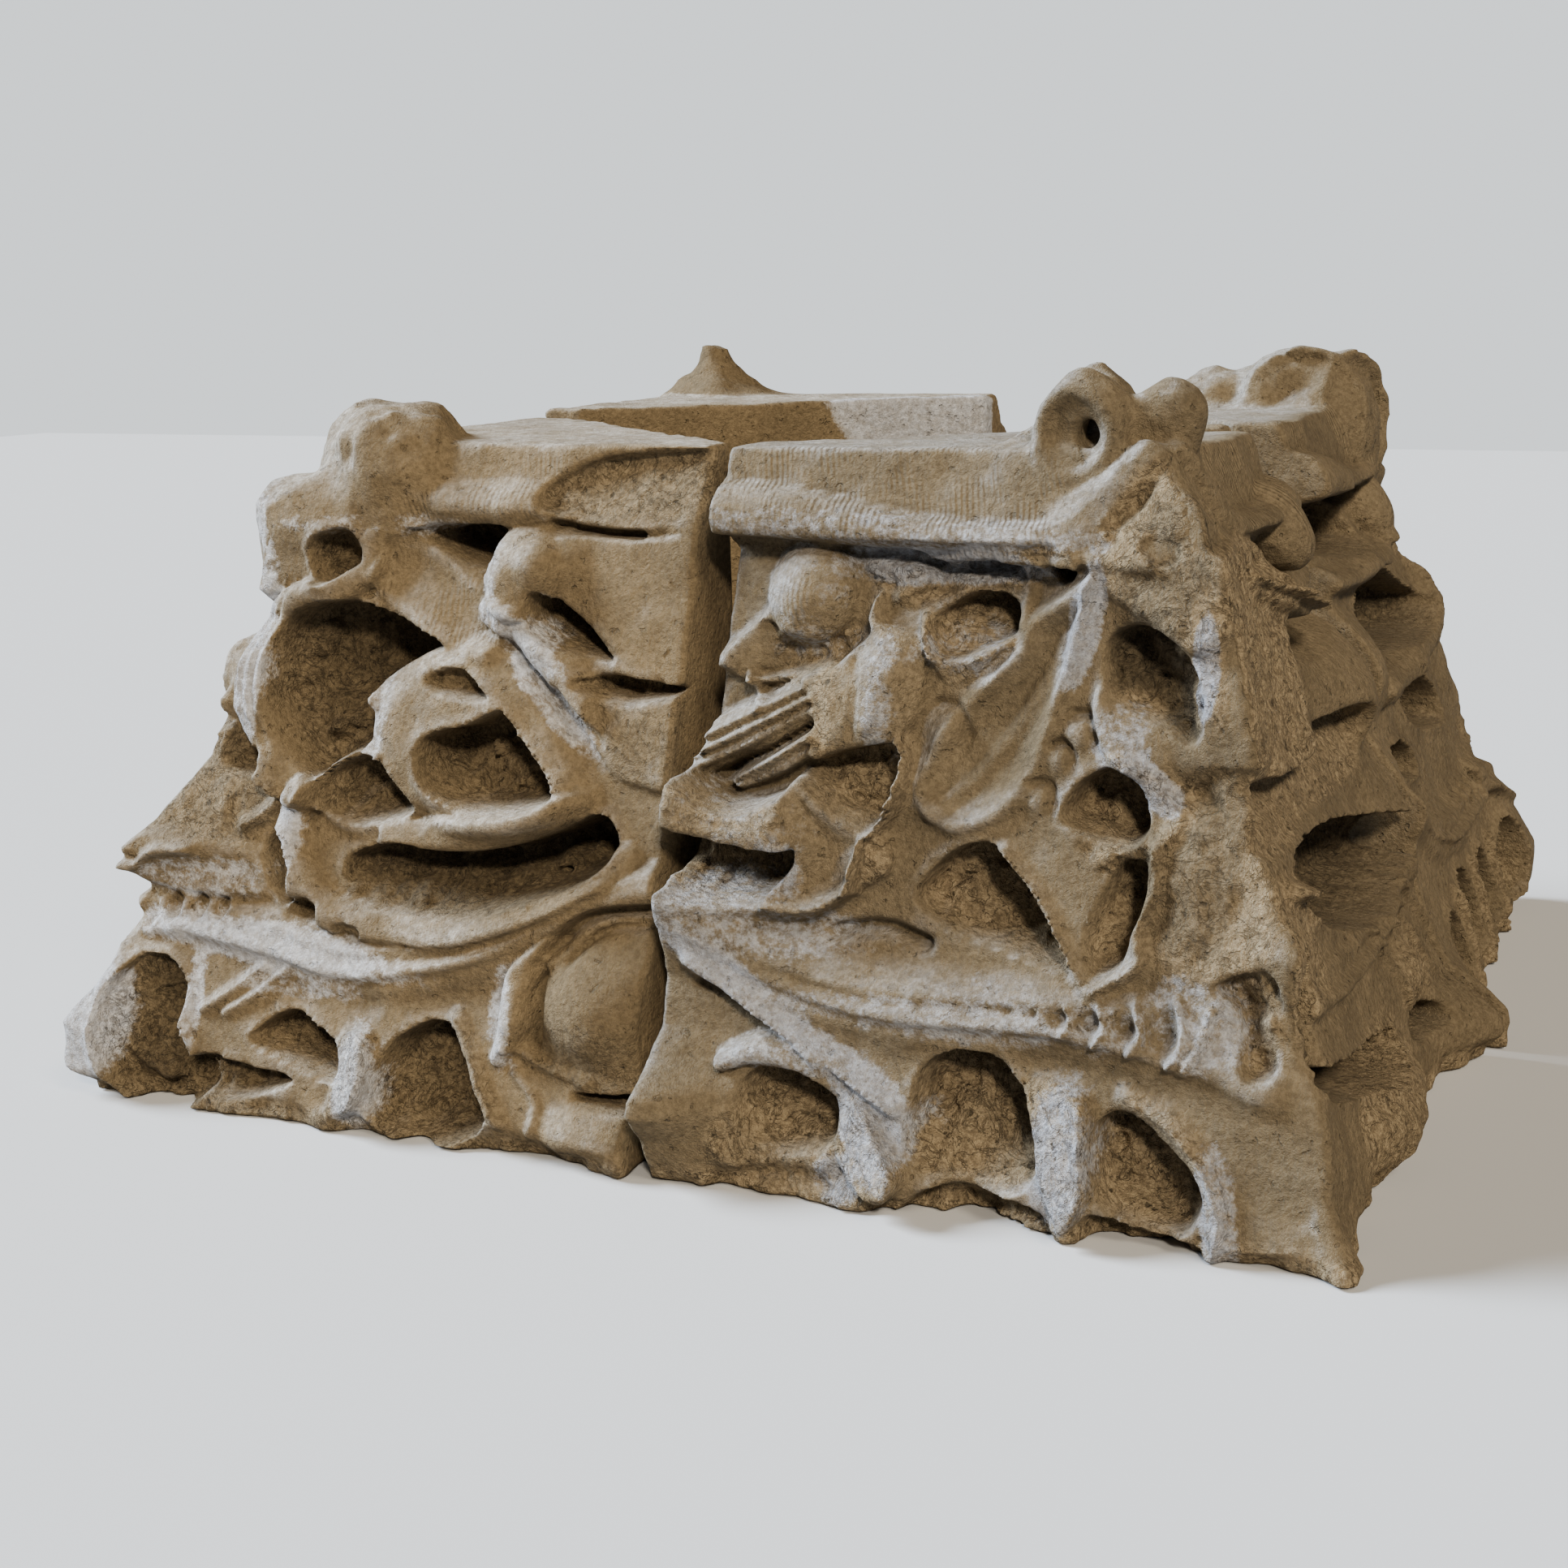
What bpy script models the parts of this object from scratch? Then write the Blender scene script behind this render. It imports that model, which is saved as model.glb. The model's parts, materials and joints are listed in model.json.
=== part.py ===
"""A carved terracotta capital: four quarter blocks that stand around an open, lozenge-shaped shaft.

Metres, +Z up. The origin is at the middle of the underside. The blocks taper from a square foot to a
smaller square bed, and each block carries half of two carved faces, which meet at its corner.
"""

import math

import bmesh
import bpy
import numpy as np
from mathutils import Vector

# Driving dimensions
FOOT_HALF = 0.500  # middle to the foot of a face
TAPER = 1.0 / 3.0  # how far a face leans in for each metre of height
UNDERSIDE = 0.010  # heights on a face are counted from a line this far below the underside
BED = 0.513  # top bed, above that line
TALL_BED = 0.520  # the same on the one taller block
REACH = 0.535  # middle to the worn tips of the lowest leaves
SHAFT_HALF_DIAGONAL = 0.305
JOINT = 0.008  # middle plane to a block's joint face
SHEET_PITCH = 0.006  # spacing of the points of a carved face
SKIN_PITCH = 0.0045  # spacing of the points of a block's even skin
TRIANGLES = 1990  # for each block, before its scroll is added
OVERRUN = 0.05  # how far a rough solid runs past the planes that trim it

MERGE = 0.00001

ABACUS_FOOT = 0.450  # underside of the slab along the top
BALL_RADIUS = 0.034
BREAK_FOOT = 0.440  # where the back right slab's break meets the joint
BREAK_TOP = 0.130  # how far from the joint that break has eaten into the bed

# How a rib's section falls from its middle to its sides: (1 - across ** first) ** second
SOFT = (2.0, 2.0)
CORD = (2.0, 0.5)
CREST = (1.0, 1.3)


# ---------------------------------------------------------------- curves on a face


def smooth_line(points, closed=False, steps=6):
    """A Catmull-Rom curve through the points, open or closed."""
    p = np.array(points, float)
    if closed:
        p = np.vstack([p[-1:], p, p[:2]])
    else:
        p = np.vstack([2 * p[:1] - p[1:2], p, 2 * p[-1:] - p[-2:-1]])
    t = np.linspace(0, 1, steps, endpoint=False)[:, None]
    runs = []
    for a, b, c, d in zip(p[:-3], p[1:-2], p[2:-1], p[3:]):
        bend = (2 * a - 5 * b + 4 * c - d) * t**2 + (3 * b - a - 3 * c + d) * t**3
        runs.append(0.5 * (2 * b + (c - a) * t + bend))
    runs.append(p[-2:-1])
    return np.vstack(runs)


def nearest(line, s, z):
    """How far each place is from a line, and the share of the line's length at its nearest point."""
    lengths = np.hypot(*np.diff(line, axis=0).T)
    total = lengths.sum()
    far = np.full(s.shape, np.inf)
    share = np.zeros(s.shape)
    run = 0.0
    for a, b, length in zip(line[:-1], line[1:], lengths):
        step = b - a
        t = ((s - a[0]) * step[0] + (z - a[1]) * step[1]) / max(length**2, 1e-12)
        t = np.clip(t, 0, 1)
        d = np.hypot(s - a[0] - t * step[0], z - a[1] - t * step[1])
        near = d < far
        far = np.where(near, d, far)
        share = np.where(near, (run + t * length) / total, share)
        run += length
    return far, share


def inside(line, s, z):
    """Which places a closed line goes around."""
    within = np.zeros(s.shape, bool)
    for a, b in zip(line[:-1], line[1:]):
        if a[1] == b[1]:
            continue
        crosses = (a[1] > z) != (b[1] > z)
        at = a[0] + (z - a[1]) * (b[0] - a[0]) / (b[1] - a[1])
        within ^= crosses & (s < at)
    return within


def ease(t):
    """A smooth step from 0 to 1."""
    t = np.clip(t, 0, 1)
    return t * t * (3 - 2 * t)


def along(values, share):
    """A value that changes evenly along a line: one number, or several at equal shares."""
    values = np.atleast_1d(np.array(values, float))
    return np.interp(share, np.linspace(0, 1, len(values)), values)


# ---------------------------------------------------------------- carving a face


class Face:
    """Half of a carved face: heights above its leaning skin, by s (away from the joint) and z."""

    def __init__(self, s, z):
        self.s, self.z = np.meshgrid(s, z, indexing="ij")
        self.height = np.zeros(self.s.shape)

    def window(self, line, margin):
        """The rows and columns of the grid that a shape can reach."""
        s_low, z_low = line.min(axis=0) - margin
        s_high, z_high = line.max(axis=0) + margin
        rows = np.nonzero((self.s[:, 0] >= s_low) & (self.s[:, 0] <= s_high))[0]
        columns = np.nonzero((self.z[0] >= z_low) & (self.z[0] <= z_high))[0]
        if len(rows) == 0 or len(columns) == 0:
            return (slice(0, 0), slice(0, 0))
        return (slice(rows[0], rows[-1] + 1), slice(columns[0], columns[-1] + 1))

    def depth_inside(self, points, margin):
        """A closed outline's window, and how deep each place lies inside it."""
        line = smooth_line(points, closed=True)
        w = self.window(line, margin)
        far, _ = nearest(line, self.s[w], self.z[w])
        return w, np.where(inside(line, self.s[w], self.z[w]), far, -far)

    def rib(self, points, width, height, form=SOFT):
        """A ridge along a line, or a groove where the height is below zero."""
        line = smooth_line(points)
        reach = float(np.max(width))
        w = self.window(line, reach)
        far, share = nearest(line, self.s[w], self.z[w])
        across = np.clip(far / along(width, share), 0, 1)
        self.height[w] += along(height, share) * (1 - across ** form[0]) ** form[1]

    def pocket(self, points, depth, wall=0.010, lean=(0.0, 0.0), lip=0.0):
        """A hollow with steep walls; lean makes its floor deeper towards +s or +z, for each metre.

        A lip is a thin raised rim around it.
        """
        w, d = self.depth_inside(points, 2 * wall)
        centre = np.mean(points, axis=0)
        slope = lean[0] * (self.s[w] - centre[0]) + lean[1] * (self.z[w] - centre[1])
        sunk = 1 - (1 - np.clip(d / wall, 0, 1)) ** 2.2
        rim = np.where(d > 0, 1 - sunk, np.clip(1 + d / 0.012, 0, 1) ** 2)
        self.height[w] += lip * rim - np.maximum(depth + slope, 0.2 * depth) * sunk

    def sheet(self, points, height, edge=0.006, lean=(0.0, 0.0), dish=0.0):
        """A patch with a surface of its own, whatever was there before, and a cliff at its edge.

        A dish is how far its middle lies below its edge.
        """
        w, d = self.depth_inside(points, edge)
        centre = np.mean(points, axis=0)
        own = height + lean[0] * (self.s[w] - centre[0]) + lean[1] * (self.z[w] - centre[1])
        own = own - dish * ease(d / 0.022)
        cover = ease(d / edge + 0.5)
        self.height[w] += cover * (own - self.height[w])

    def mound(self, centre, radii, height, angle=0.0):
        """A low swelling, or a dish where the height is below zero."""
        c, n = math.cos(math.radians(angle)), math.sin(math.radians(angle))
        s, z = self.s - centre[0], self.z - centre[1]
        d = np.hypot((c * s + n * z) / radii[0], (c * z - n * s) / radii[1])
        self.height += height * (1 - np.clip(d, 0, 1) ** 2) ** 1.5

    def ball(self, centre, radius, rise):
        """A ball that stands out as far as rise above the skin."""
        d = np.hypot(self.s - centre[0], self.z - centre[1])
        dome = rise - radius + np.sqrt(np.maximum(radius**2 - d**2, 0))
        self.height = np.where(d < radius, np.maximum(self.height, dome), self.height)


# ---------------------------------------------------------------- the designs


def foot_of_slab(face, forward=0.006):
    """The slab along the top, set forward over the hollowed bell."""
    under = ease((ABACUS_FOOT - face.z) / 0.006) * ease((face.z - 0.38) / 0.05)
    face.height -= 0.014 * under * ease((0.30 - face.s) / 0.06)
    slab = ease((face.z - ABACUS_FOOT) / 0.004) * ease((0.29 - face.s) / 0.05)
    face.height += forward * slab
    face.pocket([(-0.02, 0.446), (0.08, 0.444), (0.16, 0.438), (0.235, 0.442), (0.225, 0.430),
                 (0.16, 0.426), (0.08, 0.434), (-0.02, 0.438)], 0.012, 0.006)


def slab_roll(face):
    """The rounded roll along the slab's lower edge, thicker at the joint, which climbs into the scroll."""
    line = [(-0.02, 0.470), (0.05, 0.467), (0.12, 0.460), (0.19, 0.454), (0.26, 0.456), (0.290, 0.474)]
    face.rib(line + [(0.308, 0.500)], (0.022, 0.021, 0.018, 0.013, 0.012, 0.011, 0.010),
             (0.026, 0.025, 0.022, 0.020, 0.018, 0.016, 0.010), CORD)


# Leaf tips and hollows that follow each other down a corner: how high, and how far out
PLAIN_CORNER = ((0.01, 0.002), (0.045, 0.016), (0.070, 0.026), (0.115, 0.012), (0.150, -0.006),
                (0.172, 0.004), (0.204, 0.030), (0.235, 0.018), (0.285, -0.006), (0.315, 0.010),
                (0.350, 0.004), (0.380, -0.006), (0.400, 0.014), (0.450, 0.020), (0.500, 0.0))
NEAR_CORNER = ((0.01, 0.004), (0.045, -0.004), (0.070, 0.004), (0.115, 0.006), (0.150, -0.008),
               (0.180, 0.008), (0.204, 0.018), (0.235, 0.010), (0.270, 0.006), (0.295, -0.018),
               (0.315, 0.006), (0.360, 0.010), (0.410, 0.012), (0.450, 0.012), (0.500, 0.0))
FAR_CORNER = ((0.01, 0.0), (0.045, 0.016), (0.075, 0.027), (0.130, 0.018), (0.170, -0.012), (0.225, 0.005),
              (0.290, 0.009), (0.330, 0.010), (0.405, -0.012), (0.450, 0.014), (0.500, 0.0))


def corner_swell(face, swells):
    """Shapes a face near its corner."""
    places, out = np.transpose(swells)
    corner = FOOT_HALF - TAPER * face.z - face.s
    face.height += np.interp(face.z, places, out) * ease((0.090 - corner) / 0.090)


def joint_swell(face, low=False):
    """The leaf that stands out beside the joint: its shoulder, waist and turned-out tip, high or low."""
    places = (0.010, 0.045, 0.068, 0.080, 0.100, 0.118, 0.150, 0.180, 0.206, 0.235, 0.262)
    swells = (0.000, 0.026, 0.056, 0.054, 0.022, 0.008, 0.008, 0.026, 0.044, 0.034, 0.000)
    if low:
        places = (0.000, 0.020, 0.045, 0.060, 0.078, 0.100, 0.150, 0.180, 0.206, 0.235, 0.262)
        swells = (0.034, 0.046, 0.046, 0.034, 0.010, 0.004, 0.004, 0.012, 0.020, 0.014, 0.000)
    face.height += np.interp(face.z, places, swells) * ease((0.095 - face.s) / 0.095)


def keep_corner(face):
    """Keeps the hollows of two faces from meeting inside their corner."""
    corner = FOOT_HALF - TAPER * face.z - face.s
    face.height = np.maximum(face.height, -0.80 * np.maximum(corner - 0.014, 0.0))


def chipped_foot(face):
    """The lowest edge, chipped back unevenly."""
    bites = 0.5 + 0.3 * np.sin(61 * face.s + 1.0) + 0.2 * np.sin(137 * face.s)
    face.height -= 0.012 * bites * ease((0.030 - face.z) / 0.018)


def thumb_marks(face, marks):
    """Thumb marks pressed into a rib, each (s, z, size)."""
    for s, z, size in marks:
        face.mound((s, z), (0.011 * size, 0.014 * size), -0.012 * size)


def scroll_half(face):
    """The half face whose leaf rolls into a bowl: front left, and the plainer hidden ones."""
    foot_of_slab(face, 0.004)
    scroll_half_top(face)
    scroll_half_bowls(face)
    scroll_half_foot(face)


def scroll_half_top(face):
    """The slab, the ball, the slots beside it and the stems that pass under it."""
    face.rib([(0.12, 0.470), (0.17, 0.468), (0.22, 0.470), (0.27, 0.482)], (0.016, 0.022, 0.020, 0.014),
             (0.012, 0.016, 0.012, 0.002))
    face.sheet([(-0.02, 0.462), (0.06, 0.460), (0.12, 0.462), (0.138, 0.476), (0.120, 0.490),
                (0.080, 0.504), (-0.02, 0.506)], -0.006, 0.008, lean=(-0.05, -0.25))
    # The worn ground beside the joint
    face.sheet([(-0.02, 0.350), (0.060, 0.352), (0.066, 0.368), (0.122, 0.408), (0.135, 0.445),
                (0.06, 0.446), (-0.02, 0.446)], 0.004, 0.005)
    face.sheet([(0.260, 0.440), (0.225, 0.436), (0.180, 0.408), (0.152, 0.384), (0.170, 0.350),
                (0.205, 0.364), (0.240, 0.384), (0.275, 0.405)], 0.006, 0.010, lean=(0.0, -0.15),
               dish=0.006)
    face.ball((0.146, 0.420), BALL_RADIUS + 0.002, 0.030)
    face.mound((0.118, 0.428), (0.030, 0.026), 0.010)
    face.pocket([(0.130, 0.408), (0.112, 0.398), (0.088, 0.382), (0.066, 0.360), (0.090, 0.362),
                 (0.115, 0.370), (0.134, 0.388)], 0.040, 0.006, lean=(0.2, 0.3))
    face.pocket([(0.240, 0.446), (0.205, 0.451), (0.172, 0.452), (0.172, 0.440), (0.184, 0.424),
                 (0.208, 0.428)], 0.045, 0.007)
    face.rib([(0.170, 0.392), (0.140, 0.382), (0.115, 0.362), (0.090, 0.338), (0.060, 0.303),
              (0.045, 0.285)], (0.012, 0.016, 0.015, 0.010), (0.012, 0.024, 0.020, 0.006), CORD)
    face.rib([(0.175, 0.362), (0.148, 0.348), (0.122, 0.320), (0.100, 0.294), (0.075, 0.268)],
             (0.012, 0.015, 0.014, 0.012), (0.010, 0.022, 0.020, 0.006), CORD)
    face.pocket([(0.092, 0.346), (0.060, 0.350), (0.010, 0.344), (0.012, 0.336), (0.040, 0.326),
                 (0.075, 0.334)], 0.026, 0.007)
    face.sheet([(0.075, 0.330), (0.045, 0.332), (0.005, 0.338), (-0.02, 0.320), (-0.02, 0.275),
                (0.050, 0.280)], 0.008, 0.008, lean=(-0.1, 0.0))
    # The corner scroll's eye and the grooved stem that curls down from it
    face.mound((0.320, 0.465), (0.060, 0.040), 0.014)
    face.pocket([(0.330, 0.430), (0.322, 0.444), (0.300, 0.450), (0.288, 0.440), (0.288, 0.425),
                 (0.303, 0.411), (0.320, 0.408)], 0.055, 0.008, lip=0.008)


def scroll_half_bowls(face):
    """The leaf that rolls in on itself: two bowls, one above the other, with the leaf's tip between."""
    stem = [(0.276, 0.440), (0.278, 0.418), (0.298, 0.405), (0.330, 0.397), (0.352, 0.382), (0.366, 0.352)]
    stem += [(0.366, 0.318), (0.352, 0.284), (0.328, 0.262), (0.300, 0.252)]
    face.rib(stem, (0.010, 0.011, 0.016, 0.019, 0.018, 0.014), (0.016, 0.018, 0.022, 0.024, 0.024, 0.012),
             CORD)
    face.pocket([(0.405, 0.305), (0.378, 0.296), (0.352, 0.280), (0.356, 0.262), (0.385, 0.262),
                 (0.412, 0.282)], 0.022, 0.010)
    face.rib([(0.352, 0.262), (0.336, 0.250), (0.345, 0.236), (0.362, 0.226)], 0.010, 0.014, CREST)
    bowl = [(0.207, 0.366), (0.228, 0.377), (0.255, 0.386), (0.290, 0.395), (0.318, 0.394), (0.342, 0.382)]
    bowl += [(0.354, 0.358), (0.353, 0.325), (0.338, 0.300), (0.325, 0.278), (0.305, 0.263),
             (0.285, 0.277)]
    bowl += [(0.262, 0.288), (0.258, 0.312), (0.262, 0.330), (0.240, 0.350)]
    face.pocket(bowl, 0.058, 0.014, lean=(-0.45, 0.45), lip=0.004)
    face.rib([(0.262, 0.322), (0.285, 0.308), (0.305, 0.298)], 0.012, 0.022, CREST)
    # The leaf rolled inside it, raised, with its own deep pocket
    leaf = [(0.212, 0.364), (0.238, 0.350), (0.258, 0.326), (0.260, 0.300), (0.246, 0.276), (0.222, 0.256)]
    leaf += [(0.190, 0.240), (0.130, 0.236), (0.085, 0.252), (0.080, 0.275), (0.110, 0.308),
             (0.150, 0.352)]
    face.sheet(leaf, 0.014, 0.018, lean=(-0.10, 0.0), dish=-0.006)
    inner = [(0.212, 0.294), (0.208, 0.272), (0.192, 0.258), (0.165, 0.250), (0.132, 0.251),
             (0.105, 0.257)]
    inner += [(0.091, 0.268), (0.110, 0.292), (0.127, 0.306), (0.141, 0.322), (0.152, 0.322),
              (0.172, 0.312)]
    face.pocket(inner + [(0.200, 0.305)], 0.062, 0.009, lean=(-0.25, 0.45), lip=0.003)
    face.pocket([(0.216, 0.342), (0.200, 0.350), (0.180, 0.350), (0.157, 0.333), (0.168, 0.328),
                 (0.205, 0.333)], 0.018, 0.006, lean=(-0.2, 0.2))
    # The dished lobe between the bowls
    face.pocket([(0.304, 0.258), (0.290, 0.274), (0.268, 0.286), (0.245, 0.281), (0.226, 0.262),
                 (0.213, 0.247), (0.235, 0.236), (0.270, 0.230), (0.298, 0.240)], 0.026, 0.016,
                lean=(-0.35, 0.35), lip=0.006)
    # The lower bowl, deep under the leaf's lip
    lower = [(0.228, 0.222), (0.190, 0.218), (0.150, 0.221), (0.118, 0.229), (0.088, 0.241),
             (0.064, 0.253)]
    lower += [(0.051, 0.247), (0.044, 0.230), (0.056, 0.212), (0.085, 0.198), (0.125, 0.183),
              (0.165, 0.175)]
    lower += [(0.205, 0.173), (0.245, 0.176), (0.272, 0.190), (0.268, 0.210)]
    face.pocket(lower, 0.044, 0.012, lean=(-0.10, 0.95), lip=0.003)
    face.rib([(0.235, 0.226), (0.190, 0.231), (0.145, 0.237), (0.105, 0.248), (0.075, 0.262)],
             (0.010, 0.014, 0.014, 0.010), (0.008, 0.018, 0.018, 0.010), CORD)
    rim = [(0.312, 0.255), (0.322, 0.232), (0.318, 0.206), (0.302, 0.186), (0.278, 0.168), (0.230, 0.162)]
    rim += [(0.165, 0.166), (0.110, 0.183), (0.065, 0.204), (0.035, 0.226)]
    face.rib(rim, (0.012, 0.015, 0.014, 0.011, 0.010, 0.010, 0.010), (0.016, 0.020, 0.018, 0.012, 0.010,
                                                                      0.010), CORD)
    face.pocket([(0.346, 0.203), (0.342, 0.220), (0.328, 0.224), (0.318, 0.208), (0.312, 0.192),
                 (0.318, 0.168), (0.334, 0.178)], 0.030, 0.007, lip=0.004)
    face.pocket([(0.316, 0.165), (0.308, 0.178), (0.290, 0.178), (0.284, 0.166), (0.298, 0.156)], 0.014,
                0.006)


def scroll_half_foot(face):
    """The great rib and the lowest leaves: thumb marks, pockets and the round lobe at the joint."""
    face.rib([(0.00, 0.212), (0.05, 0.196), (0.10, 0.170), (0.15, 0.150), (0.20, 0.138), (0.26, 0.130),
                  (0.33, 0.142), (0.40, 0.149), (0.455, 0.148)], (0.018, 0.028, 0.032, 0.026, 0.018),
           (0.016, 0.016, 0.014, 0.014, 0.010))
    face.sheet([(0.480, 0.205), (0.440, 0.220), (0.395, 0.215), (0.350, 0.205), (0.340, 0.175),
                (0.400, 0.172), (0.455, 0.180)], 0.008, 0.010, dish=0.006)
    thumb_marks(face, [(0.446, 0.155, 1.3), (0.421, 0.160, 1.1), (0.398, 0.162, 1.0), (0.377, 0.162, 0.9)])
    p1 = [(0.472, 0.090), (0.462, 0.108), (0.442, 0.123), (0.420, 0.121), (0.404, 0.104), (0.402, 0.076)]
    p1 += [(0.388, 0.050), (0.374, 0.026), (0.400, 0.008), (0.445, 0.010), (0.464, 0.034), (0.472, 0.062)]
    face.pocket(p1, 0.042, 0.012, lean=(-0.25, 0.35), lip=0.003)
    p2 = [(0.338, 0.068), (0.322, 0.086), (0.302, 0.093), (0.278, 0.085), (0.258, 0.073), (0.249, 0.054)]
    face.pocket(p2 + [(0.262, 0.047), (0.300, 0.055)], 0.050, 0.009, lean=(-0.5, 0.4), lip=0.003)
    face.pocket([(0.388, 0.052), (0.345, 0.050), (0.296, 0.045), (0.312, 0.034), (0.345, 0.022),
                 (0.376, 0.024)], 0.026, 0.008)
    face.sheet([(0.254, 0.082), (0.229, 0.084), (0.226, 0.050), (0.238, 0.028), (0.262, 0.022),
                (0.256, 0.055)], 0.010, 0.006, lean=(-0.5, 0.0))
    p3 = [(0.226, 0.050), (0.214, 0.078), (0.196, 0.092), (0.178, 0.099), (0.160, 0.096), (0.148, 0.080)]
    p3 += [(0.134, 0.058), (0.124, 0.038), (0.142, 0.018), (0.185, 0.012), (0.224, 0.020)]
    face.pocket(p3, 0.055, 0.011, lean=(-0.35, 0.40), lip=0.004)
    # The round lobe at the joint, its curled rim and the folds above it
    face.mound((0.045, 0.122), (0.062, 0.052), 0.030)
    face.rib([(0.086, 0.158), (0.106, 0.136), (0.108, 0.106), (0.118, 0.082)], (0.010, 0.012, 0.012,
                                                                                0.008), (0.010, 0.022,
                                                                                         0.024, 0.010),
             CORD)
    face.rib([(0.085, 0.158), (0.055, 0.184), (0.005, 0.190)], 0.008, -0.018)
    face.pocket([(0.062, 0.060), (0.036, 0.063), (0.006, 0.064), (0.006, 0.054), (0.040, 0.055)], 0.034,
                0.005)
    face.mound((0.030, 0.035), (0.060, 0.028), 0.018)


def torn_half(face):
    """The half face with the torn leaf and the thick grey lip: front right."""
    foot_of_slab(face)
    slab_roll(face)
    joint_swell(face)
    torn_half_leaf(face)
    torn_half_lobes(face)
    torn_half_foot(face)


def torn_half_leaf(face):
    """The bell wall, the ball, the twin stems, the lip and the torn leaf over them."""
    face.sheet([(-0.02, 0.440), (0.15, 0.436), (0.17, 0.420), (0.140, 0.400), (0.112, 0.366),
                (0.100, 0.330), (0.100, 0.286), (0.050, 0.272), (-0.02, 0.290)], -0.014, 0.008,
               lean=(0.06, 0.0))
    face.ball((0.085, 0.414), BALL_RADIUS + 0.003, 0.024)
    face.rib([(0.052, 0.395), (0.036, 0.380), (0.018, 0.366), (0.004, 0.348)], 0.008, 0.016, CREST)
    face.sheet([(0.050, 0.392), (0.072, 0.378), (0.070, 0.362), (0.040, 0.358), (0.022, 0.366)], 0.000,
               0.006, lean=(-0.4, 0.0))
    # The lip, a thick broken leaf edge, and the dark pocket under it
    face.pocket([(0.004, 0.240), (0.020, 0.252), (0.060, 0.252), (0.100, 0.246), (0.100, 0.222),
                 (0.084, 0.209), (0.050, 0.204), (0.018, 0.210), (0.006, 0.222)], 0.052, 0.009,
                lean=(0.0, 0.3))
    face.sheet([(-0.02, 0.296), (0.010, 0.290), (0.038, 0.272), (0.060, 0.270), (0.085, 0.280),
                (0.101, 0.290), (0.101, 0.246), (0.060, 0.246), (0.025, 0.252), (-0.02, 0.266)], 0.044,
               0.006, lean=(-0.12, 0.0), dish=-0.008)
    # The torn leaf: its upper sheet, its dark break, its lower sheet and its standing blade
    upper = [(0.138, 0.417), (0.132, 0.400), (0.134, 0.388), (0.120, 0.374), (0.108, 0.364),
             (0.088, 0.356)]
    upper += [(0.100, 0.342), (0.102, 0.315), (0.108, 0.300), (0.150, 0.312), (0.172, 0.330),
              (0.178, 0.362)]
    face.sheet(upper + [(0.172, 0.385), (0.150, 0.394), (0.142, 0.400)], 0.016, 0.006, lean=(-0.10, -0.05),
               dish=-0.005)
    face.sheet([(0.104, 0.300), (0.098, 0.284), (0.125, 0.272), (0.155, 0.262), (0.164, 0.285),
                (0.166, 0.312), (0.140, 0.312)], -0.020, 0.008, lean=(0.0, -0.2))
    lower = [(0.100, 0.294), (0.092, 0.280), (0.099, 0.256), (0.100, 0.236), (0.084, 0.216),
             (0.082, 0.206)]
    lower += [(0.110, 0.204), (0.136, 0.212), (0.147, 0.232), (0.151, 0.256), (0.125, 0.272)]
    face.sheet(lower, 0.026, 0.006, lean=(-0.25, 0.10), dish=0.012)
    face.sheet([(0.152, 0.256), (0.168, 0.248), (0.166, 0.232), (0.150, 0.224)], 0.012, 0.005)


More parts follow.
